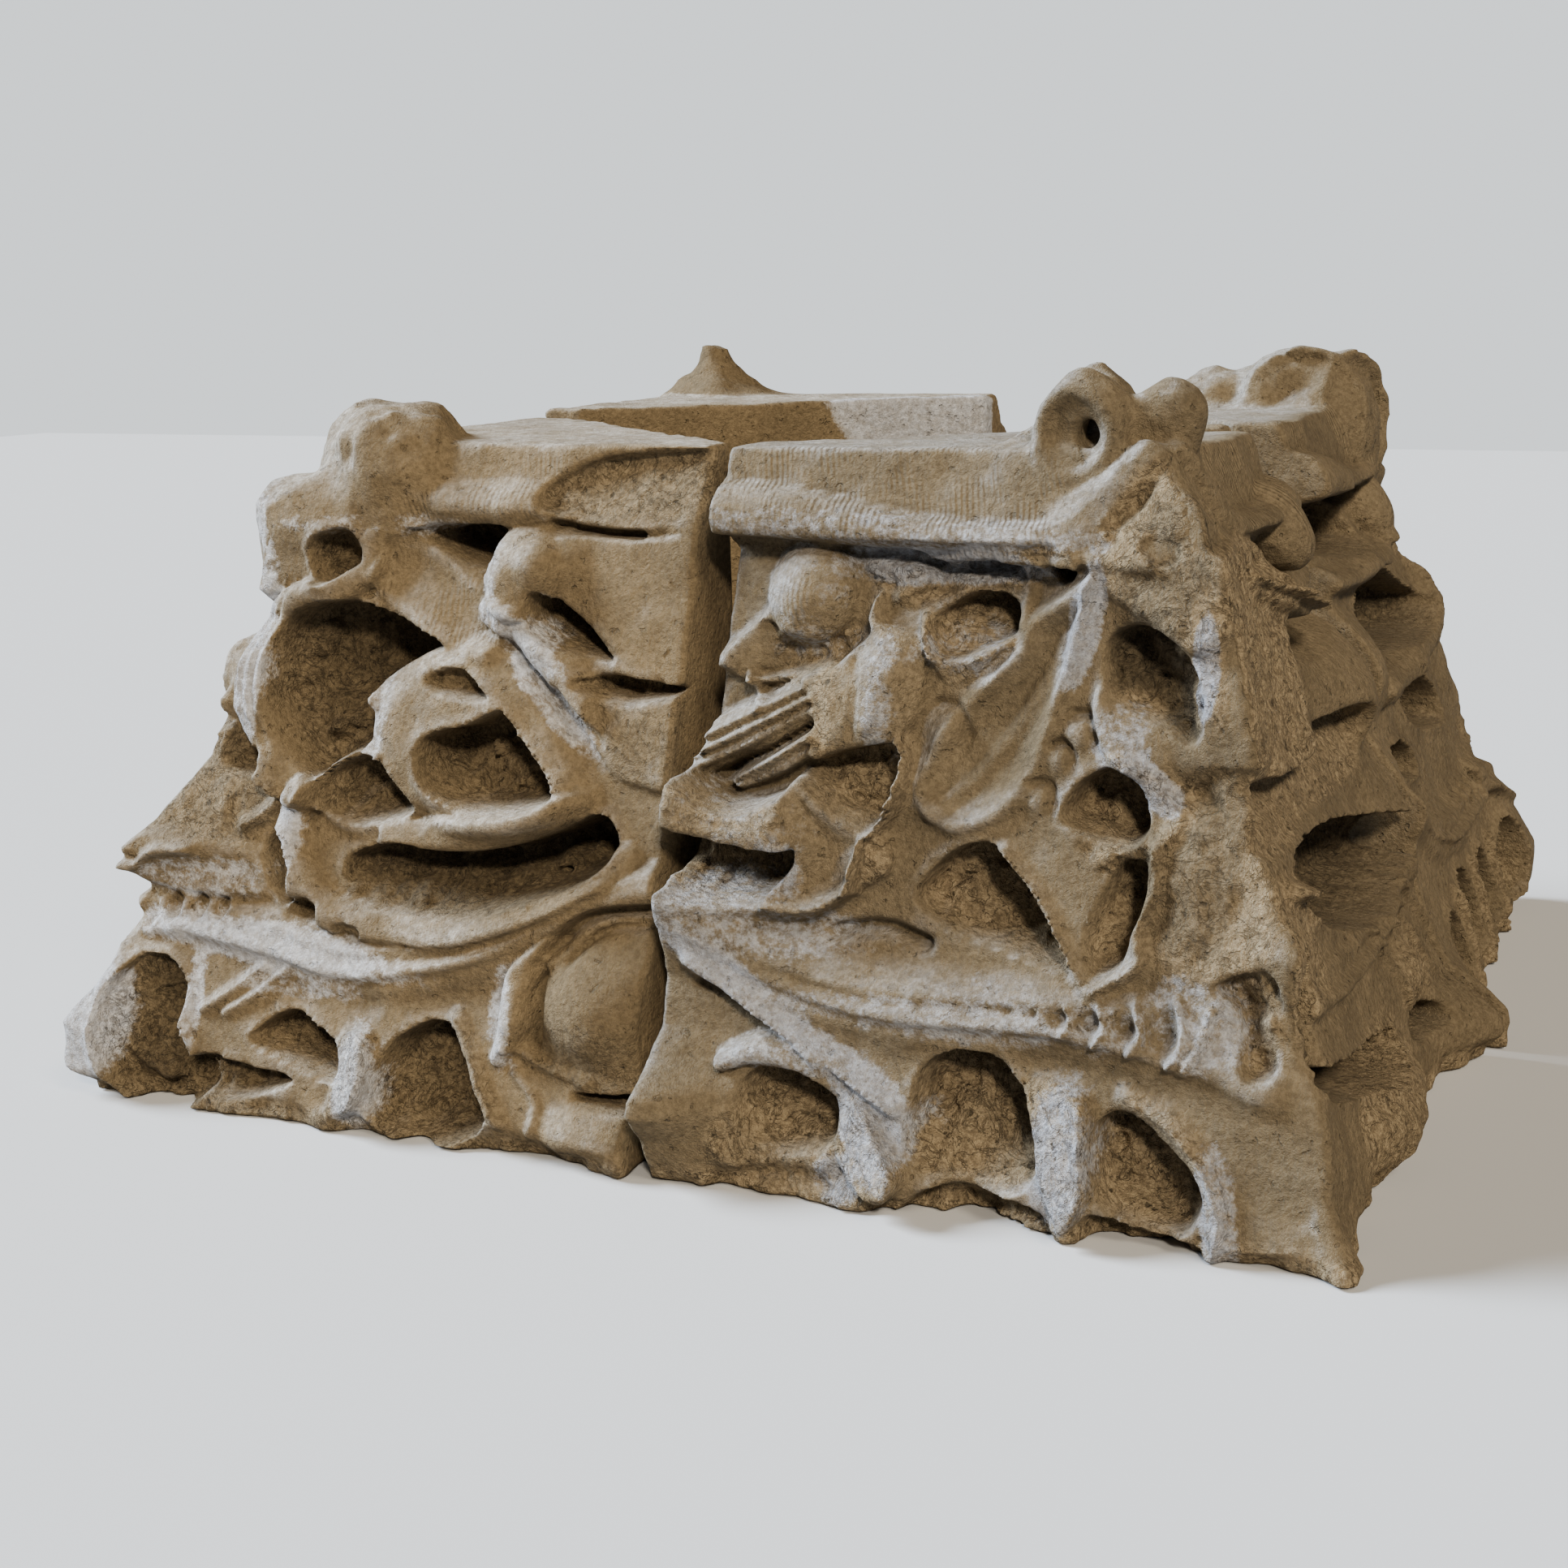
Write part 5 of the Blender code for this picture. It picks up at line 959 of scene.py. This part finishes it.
def block_solid(name, fields, scroll, places, bed, seed):
    """A block as a field over a grid, below zero inside: faces and scroll, cut to its beds and joints."""
    x, y, up = places
    (out_y, steep_y), (out_x, steep_x) = fields
    solid = soft_max(((y - out_y[:, None, :]) / steep_y[:, None, :]).astype(np.float32),
                     ((x - out_x[None, :, :]) / steep_x[None, :, :]).astype(np.float32), 0.008)
    wear = 0.0012 * rough(solid.shape, PITCH, 0.030, seed + 200, 3)
    solid = soft_max(solid, up - bed + 0.5 * wear, 0.005)
    solid = soft_min(solid, scroll((x, y, up + UNDERSIDE)).astype(np.float32) + 1.6 * wear, 0.012)
    joint_x = JOINT - x
    if name == "front_right_block":
        foot, head = WALL_HEIGHTS
        joint_x = joint_x + WALL_BACK * ease((up - foot) / 0.01) * ease((head - up) / 0.01)
    for trim in (-up, joint_x, JOINT - y, (SHAFT_HALF_DIAGONAL - x - y) / math.sqrt(2)):
        solid = soft_max(solid, (trim + 0.5 * wear).astype(np.float32), 0.004)
    if name == "back_right_block":
        solid = soft_max(solid, (0.86 * (up - BREAK_FOOT) - 0.43 * x + 1.5 * wear).astype(np.float32), 0.004)
    return np.maximum(solid, -up)


def painted_light_off_face(name, places, bed):
    """Colour off the faces: a painted pool of light on the back left block's shaft wall by the joint, and
    what stands above its bed darkened.
    """
    if name != "back_left_block":
        return 0.0
    shaft_wall = places[:, 0] + places[:, 1] < SHAFT_HALF_DIAGONAL + 0.02
    # A painted pool of light, with a soft slanted edge such as a shadow's edge has.
    pale = shaft_wall * ease((0.118 - places[:, 0] + 0.4 * (places[:, 2] - 0.47)) / 0.015)
    return np.where(places[:, 2] > bed + 0.003, -1.3, pale)


def block(name, side, front, designs, scroll, corner, seed):
    """One quarter block in its full carving. side is -1 or 1 along X, front is -1 or 1 along Y."""
    low = np.array([JOINT - MARGIN, JOINT - MARGIN, -MARGIN])
    high = np.array([REACH + MARGIN, REACH + MARGIN, cad_box[1][2] + MARGIN])
    counts = np.ceil((high - low) / PITCH).astype(int)
    a, z = (low[i] + PITCH * np.arange(counts[i]) for i in (0, 2))
    faces = [carved_face(design, a, z + UNDERSIDE, corner, seed + 50 * i) for i, design in enumerate(designs)]
    if side > 0:  # dust settles from the left, so the right side is bare; bare, it also loses the painted window light and its hollow floors get painted shade
        faces[1].dust_light_and_shade -= 0.9
    fields = []
    for face in faces:
        out = FOOT_HALF + (face.height - TAPER * face.z) / 1000
        steep = np.sqrt(1 + np.sum(np.square(np.gradient(out, PITCH)), axis=0))
        fields.append((out, steep))
    bed = MOUNTS["top_bed_" + name.replace("_block", "")][2]
    grid = np.meshgrid(a, a, z, indexing="ij", sparse=True)
    places, quads = net(block_solid(name, fields, scroll, grid, bed, seed), low, PITCH)
    masks = mask_colours(faces, fields, low, places, painted_light_off_face(name, places, bed))
    places = places * np.array([side, front, 1])
    if side * front < 0:
        quads = quads[:, ::-1]
    piece = bpy.data.objects.new("carved_" + name, quad_mesh(name, places, quads))
    bpy.context.scene.collection.objects.link(piece)
    colours = piece.data.color_attributes.new("carving", "FLOAT_COLOR", "POINT")
    colours.data.foreach_set("color", masks[:, :4].astype(np.float32).ravel())
    dust_light_and_shade = piece.data.attributes.new("dust_light_and_shade", "FLOAT", "POINT")
    dust_light_and_shade.data.foreach_set("value", masks[:, 4].astype(np.float32))
    return piece


def mask_colours(faces, fields, low, places, pale):
    """For each point: how much it is a ridge, a hollow floor, a break, combed, and thick with dust, which
    also carries patches of painted light and painted shade.
    """
    near = []
    values = []
    for i, (face, (out, steep)) in enumerate(zip(faces, fields)):
        along_face = places[:, [i, 2]]
        flat_low = low[[i, 2]]
        off = np.abs(places[:, 1 - i] - sample(out, flat_low, PITCH, along_face))
        near.append(off / sample(steep, flat_low, PITCH, along_face))
        away = (face.height - blurred(face.height, round(0.012 / PITCH))) / 12
        ridge = np.minimum(away, 0.25) + narrow(face.height, round(0.006 / PITCH)) / 10
        stack = [ridge, face.hollow, face.broken, face.combed, face.dust_light_and_shade]
        values.append(np.stack([sample(v, flat_low, PITCH, along_face) for v in stack], -1))
    pick = (near[0] < near[1])[:, None]
    found = np.where(pick, values[0], values[1])
    on_face = ease(1.5 - np.minimum(near[0], near[1]) / 0.012)[:, None]
    found = found * on_face
    found[:, 4] = np.where(pale == 0, found[:, 4], pale)
    found[:, 0] = np.clip(0.5 + 0.5 * found[:, 0], 0, 1)
    return np.clip(found, (0, 0, 0, 0, -2), 1)


def settle(target):
    """Replaces an object's mesh with what its modifiers make of it."""
    graph = bpy.context.evaluated_depsgraph_get()
    mesh = bpy.data.meshes.new_from_object(target.evaluated_get(graph))
    target.modifiers.clear()
    target.data = mesh


def thin_out(target, triangles):
    """Leaves about as many triangles as asked, fewest where the surface is flat."""
    have = 2 * len(target.data.polygons)
    if have > triangles:
        change = target.modifiers.new("Thin out", "DECIMATE")
        change.ratio = triangles / have
        settle(target)


# ---------------------------------------------------------------- finishes


class Nodes:
    """Short ways to place nodes in a tree."""

    def __init__(self, tree):
        self.tree = tree

    def feed(self, socket, value):
        if isinstance(value, bpy.types.NodeSocket):
            self.tree.links.new(value, socket)
        else:
            socket.default_value = value

    def node(self, kind, fed=None, **values):
        """A node with some of its settings and inputs given."""
        made = self.tree.nodes.new("ShaderNode" + kind)
        for name, value in values.items():
            setattr(made, name, value)
        for name, value in (fed or {}).items():
            self.feed(made.inputs[name], value)
        return made

    def math(self, operation, a, b=0.0, clamp=False):
        return self.node("Math", {0: a, 1: b}, operation=operation, use_clamp=clamp).outputs[0]

    def times(self, *values):
        return functools.reduce(lambda a, b: self.math("MULTIPLY", a, b), values)

    def plus(self, *values):
        return functools.reduce(lambda a, b: self.math("ADD", a, b), values)

    def noise(self, where, scale, detail=4.0, roughness=0.6, distortion=0.0):
        fed = {"Vector": where, "Scale": scale, "Detail": detail, "Roughness": roughness,
               "Distortion": distortion}
        return self.node("TexNoise", fed).outputs["Fac"]

    def between(self, value, low, high):
        """0 at low, 1 at high, smoothly."""
        fed = {"Value": value, "From Min": low, "From Max": high}
        return self.node("MapRange", fed, interpolation_type="SMOOTHSTEP").outputs["Result"]

    def mix(self, share, a, b, blend="MIX"):
        return self.node("Mix", {0: share, 6: a, 7: b}, data_type="RGBA", blend_type=blend).outputs[2]

    def place(self, tree, **values):
        """A group node, with its inputs fed by name."""
        return self.node("Group", values, node_tree=tree).outputs


def group(name, inputs, outputs):
    """An empty shader node group with named sockets; what it puts out are plain values."""
    tree = bpy.data.node_groups.new(name, "ShaderNodeTree")
    for label, kind, value in inputs:
        socket = tree.interface.new_socket(name=label, in_out="INPUT", socket_type="NodeSocket" + kind)
        if value is not None:
            socket.default_value = value
    for label in outputs:
        tree.interface.new_socket(name=label, in_out="OUTPUT", socket_type="NodeSocketFloat")
    return tree, tree.nodes.new("NodeGroupInput").outputs, tree.nodes.new("NodeGroupOutput").inputs


def clay_grain_group():
    """The body of fired clay: cloudy colour, sandy grain and pits, coarser where it is broken."""
    tree, given, out = group("fired clay grain", [("Place", "Vector", None), ("Coarse", "Float", 0.0)],
                             ["Cloud", "Speck", "Pits", "Height"])
    n = Nodes(tree)
    place, coarse = given["Place"], given["Coarse"]
    n.feed(out["Cloud"], n.noise(place, 11.0, 8.0, 0.68))
    n.feed(out["Speck"], n.noise(place, 210.0, 4.0, 0.78))
    sand = n.noise(place, 190.0, 4.0, 0.78)
    crumb = n.noise(place, 72.0, 5.0, 0.74, 0.6)
    pits = n.between(n.noise(place, 120.0, 3.0, 0.6), 0.37, 0.29)
    folds = n.math("SUBTRACT", n.noise(place, 46.0, 4.0, 0.6, 1.2), 0.5)
    cracks = n.times(n.between(n.math("ABSOLUTE", folds), 0.022, 0.0), coarse, 0.6)
    n.feed(out["Pits"], n.math("MAXIMUM", n.times(pits, n.plus(coarse, 0.35)), cracks))
    stands = n.plus(n.times(sand, 1.5), n.times(crumb, n.plus(n.times(coarse, 2.8), 0.9)))
    n.feed(out["Height"], n.math("SUBTRACT", stands, n.plus(n.times(pits, 0.7), cracks)))
    return tree


def comb_group():
    """Upright comb marks, a few millimetres apart, slightly unsteady."""
    tree, given, out = group("comb marks", [("Place", "Vector", None), ("Spacing", "Float", 0.0043)],
                             ["Height"])
    n = Nodes(tree)
    x, y, z = n.node("SeparateXYZ", {0: given["Place"]}).outputs
    beside = n.math("GREATER_THAN", n.math("ABSOLUTE", x), n.math("ABSOLUTE", y))
    run = n.plus(n.times(y, beside), n.times(x, n.math("SUBTRACT", 1.0, beside)), n.times(z, 0.16))
    sway = n.times(n.noise(given["Place"], 9.0, 2.0), 0.020)
    turns = n.math("DIVIDE", n.plus(run, sway), given["Spacing"])
    wave = n.math("SINE", n.times(turns, 2 * math.pi))
    n.feed(out["Height"], n.times(wave, n.between(n.noise(given["Place"], 34.0, 3.0), 0.42, 0.60)))
    return tree


def dust_and_light_group():
    """Pale dust together with painted cool window light: it lies on ridges that face left and on what looks
    up or towards the window lamp on the left, and stays out of hollows.
    """
    tree, given, out = group("dust and painted window light",
                             [("Place", "Vector", None), ("Normal", "Vector", None), ("Ridge", "Float", 0.5),
                              ("Hollow", "Float", 0.0), ("Wear", "Float", 0.5), ("Thick", "Float", 0.0),
                              ("Side", "Vector", (-0.75, -0.05, 0.62)), ("Amount", "Float", 0.5)], ["Cover"])
    n = Nodes(tree)
    # Painted highlight: what faces the window lamp's way (Side) is paled as if lit, together with the dust
    # lying there.
    facing = n.node("VectorMath", {0: given["Normal"], 1: given["Side"]}, operation="DOT_PRODUCT")
    window_light_and_dust = n.between(facing.outputs["Value"], 0.26, 0.72)
    way = n.node("SeparateXYZ", {0: given["Normal"]}).outputs
    # Ridges that face left get the same painted highlight, along with their dust.
    proud = n.times(n.between(given["Ridge"], 0.60, 0.92), n.between(way[0], 0.75, 0.15), given["Wear"])
    patch = n.between(n.noise(given["Place"], 16.0, 6.0, 0.65), 0.35, 0.65)
    fine = n.between(n.noise(given["Place"], 130.0, 6.0, 0.78), 0.38, 0.62)
    uneven = n.times(n.plus(n.times(patch, 0.6), 0.4), n.plus(n.times(fine, 0.65), 0.35))
    thin = n.times(n.plus(window_light_and_dust, proud), uneven, n.math("SUBTRACT", 1.0, n.times(given["Hollow"], 0.95)),
                   n.plus(n.math("MINIMUM", given["Thick"], 0.0), 1.0))
    edge = n.plus(given["Thick"], n.times(fine, 0.30), n.times(patch, 0.35))
    thick = n.times(n.between(edge, 0.60, 1.10), n.plus(n.times(fine, 0.40), 0.55))
    n.feed(out["Cover"], n.math("MULTIPLY", n.math("MAXIMUM", thin, thick), given["Amount"], clamp=True))
    return tree


def terracotta(name, groups, clay, fresh, lit_pale_dust, cool_lit_thick_dust, wear, hollow_shade, crumb):
    """Unglazed terracotta: worn clay, crumbly hollows, fresher breaks, painted shade in creases, pits and
    hollows, and dust with painted cool window light, cooler where it is thick.

    wear is how much dust and painted window light the ridges that face left hold, hollow_shade how dark a
    hollow's floor is painted as shade, and crumb how fresh a hollow's floor is.
    """
    made = bpy.data.materials.new(name)
    made.use_nodes = True
    n = Nodes(made.node_tree)
    shader = made.node_tree.nodes["Principled BSDF"]
    # The dark colour serves both for stains and for painted shade.
    dark_stain_and_shade = [0.52 * c for c in clay]
    place = n.node("TexCoord").outputs["Object"]
    carving = n.node("Attribute", attribute_name="carving").outputs
    ridge, hollow, broken = n.node("SeparateColor", {0: carving["Color"]}).outputs
    combed = carving["Alpha"]
    thick = n.node("Attribute", attribute_name="dust_light_and_shade").outputs["Fac"]
    coarse = n.math("MAXIMUM", hollow, broken)
    body = n.place(groups["clay"], Place=place, Coarse=coarse)
    cloud = n.between(body["Cloud"], 0.30, 0.70)
    base = n.mix(cloud, (*[0.80 * c for c in clay], 1), (*[1.16 * c for c in clay], 1))
    # Painted shade: creases lower than their surroundings, outside the hollows, and hollow floors, by the
    # finish's amount, are darkened.
    deep = n.times(n.between(ridge, 0.46, 0.10), n.math("SUBTRACT", 1.0, hollow), 0.5)
    base = n.mix(n.math("MAXIMUM", deep, n.times(hollow, hollow_shade)), base, (*dark_stain_and_shade, 1))
    bare = n.math("MULTIPLY", thick, -1.0, clamp=True)
    crumbs = n.times(hollow, crumb, n.math("SUBTRACT", 1.0, bare))
    base = n.mix(n.times(n.math("MAXIMUM", broken, crumbs), 0.65), base, (*fresh, 1))
    # Painted shade: bare hollow floors are darkened; patches below -1 darken too, partly real stain and
    # partly painted shade.
    stain_and_shade = n.math("SUBTRACT", n.times(thick, -1.0), 1.0, clamp=True)
    base = n.mix(n.math("MAXIMUM", n.times(bare, hollow, 0.8), stain_and_shade), base, (*dark_stain_and_shade, 1))
    window_light_and_dust = n.place(groups["lit_pale_dust"], Place=place, Normal=n.node("NewGeometry").outputs["Normal"], Ridge=ridge,
                   Hollow=coarse, Wear=wear, Thick=thick, Amount=0.95)
    # Dust and painted window light share one pale colour, tinted cool blue where the dust is thick as painted
    # cool light.
    base = n.mix(window_light_and_dust["Cover"], base, n.mix(thick, (*lit_pale_dust, 1), (*cool_lit_thick_dust, 1)))
    speck = n.mix(n.between(body["Speck"], 0.36, 0.64), (0.52, 0.50, 0.48, 1), (1.38, 1.38, 1.38, 1))
    base = n.mix(n.plus(n.times(coarse, 0.35), 0.45), base, speck, "MULTIPLY")
    # Painted shade in the small pits and cracks of the grain.
    base = n.mix(n.math("MULTIPLY", body["Pits"], 0.6, clamp=True), base, (*[0.5 * c for c in dark_stain_and_shade], 1))
    marks = n.times(n.place(groups["comb"], Place=place)["Height"], combed, 0.24)
    bump = n.node("Bump", {"Strength": 1.0, "Distance": 0.0026, "Height": n.plus(body["Height"], marks)})
    for socket, value in (("Base Color", base), ("Roughness", 0.93), ("Specular IOR Level", 0.25),
                          ("Normal", bump.outputs["Normal"])):
        n.feed(shader.inputs[socket], value)
    return made


# ---------------------------------------------------------------- floor, light and camera


def floor():
    """A plain floor, pale to look at, that throws little light back up under the capital."""
    bpy.ops.mesh.primitive_plane_add(size=14.0, location=(0, 0, -0.0005))
    plane = bpy.context.object
    plane.name = "floor"
    pale = bpy.data.materials.new("pale_floor")
    pale.use_nodes = True
    n = Nodes(pale.node_tree)
    shader = pale.node_tree.nodes["Principled BSDF"]
    seen = n.node("LightPath").outputs["Is Camera Ray"]
    n.feed(shader.inputs["Base Color"], n.mix(seen, (0.22, 0.21, 0.20, 1), (0.70, 0.70, 0.70, 1)))
    n.feed(shader.inputs["Roughness"], 0.9)
    plane.data.materials.append(pale)


def lights():
    """Cool light that grazes in from the left, warmer light from the front right, and a pale room."""
    for name, toward, strength, width, colour in (
        ("window", (-0.82, -0.10, 0.56), 9.5, 26.0, (0.78, 0.88, 1.0)),
        ("lamp", (0.42, -0.75, 0.52), 2.3, 7.0, (1.0, 0.88, 0.71)),
        ("side lamp", (0.58, -0.42, 0.70), 1.3, 18.0, (1.0, 0.87, 0.68)),
    ):
        light = bpy.data.lights.new(name, "SUN")
        light.energy = strength
        light.angle = math.radians(width)
        light.color = colour
        made = bpy.data.objects.new(name, light)
        bpy.context.scene.collection.objects.link(made)
        made.rotation_euler = Vector(toward).to_track_quat("Z", "Y").to_euler()
    world = bpy.data.worlds.new("room")
    bpy.context.scene.world = world
    world.use_nodes = True
    n = Nodes(world.node_tree)
    background = world.node_tree.nodes["Background"]
    n.feed(background.inputs["Color"], (0.92, 0.97, 1.0, 1))
    seen = n.node("LightPath").outputs["Is Camera Ray"]
    n.feed(background.inputs["Strength"], n.plus(n.times(seen, 1.2), 0.05))


def camera():
    """The viewing angle: near the front right corner, a little above the capital."""
    eye = (0.7134, -1.8595, 0.6217 - UNDERSIDE)
    yaw, pitch, roll = (math.radians(v) for v in (23.59, 12.06, 0.9))
    forward = Vector((-math.sin(yaw) * math.cos(pitch), math.cos(yaw) * math.cos(pitch), -math.sin(pitch)))
    right = Vector((math.cos(yaw), math.sin(yaw), 0))
    down = forward.cross(right)
    across = math.cos(roll) * right + math.sin(roll) * down
    below = math.cos(roll) * down - math.sin(roll) * right
    made = bpy.data.objects.new("camera", bpy.data.cameras.new("camera"))
    made.data.sensor_width = 36.0
    made.data.lens = 52.97
    turned = Matrix((across, -below, -forward)).transposed().to_4x4()
    turned.translation = eye
    made.matrix_world = turned
    bpy.context.scene.collection.objects.link(made)
    bpy.context.scene.camera = made


# ---------------------------------------------------------------- the capital

# The left side is warmer, its dust paler and its hollow floors darkened as painted shade; the right side
# cooler, its thick dust tinted blue as painted cool light, with sandier floors in its hollows
LEFT = dict(clay=(0.224, 0.164, 0.089), fresh=(0.272, 0.206, 0.120), lit_pale_dust=(0.60, 0.55, 0.48),
            cool_lit_thick_dust=(0.66, 0.67, 0.70), wear=0.40, hollow_shade=0.34, crumb=0.4)
RIGHT = dict(clay=(0.200, 0.153, 0.090), fresh=(0.395, 0.300, 0.178), lit_pale_dust=(0.46, 0.44, 0.41),
             cool_lit_thick_dust=(0.42, 0.44, 0.49), wear=0.36, hollow_shade=0.0, crumb=0.9)

# Each block: which way it stands along X and Y, the designs of its face along X and along Y, its scroll,
# its corner, the seed of its roughness, and its finish
BLOCKS = (
    ("front_left_block", -1, -1, (scroll_half, whole_half), broken_scroll, PLAIN_CORNER, 11, LEFT),
    ("front_right_block", 1, -1, (torn_half, worn_half), ring_scroll, NEAR_CORNER, 23, RIGHT),
    ("back_left_block", -1, 1, (whole_half, scroll_half), pointed_scroll, PLAIN_CORNER, 37, LEFT),
    ("back_right_block", 1, 1, (scroll_half, whole_half), round_scroll, FAR_CORNER, 41, RIGHT),
)


def capital():
    """The four blocks, each in place of its plain solid."""
    groups = {"clay": clay_grain_group(), "comb": comb_group(), "lit_pale_dust": dust_and_light_group()}
    for name, side, front, designs, scroll, corner, seed, finish in BLOCKS:
        piece = block(name, side, front, designs, scroll, corner, seed)
        thin_out(piece, MOST_TRIANGLES)
        piece.data.shade_smooth()
        piece.data.materials.append(terracotta("terracotta_" + name, groups, **finish))
        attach(piece, "root")
        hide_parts(name)


capital()
floor()
lights()
camera()
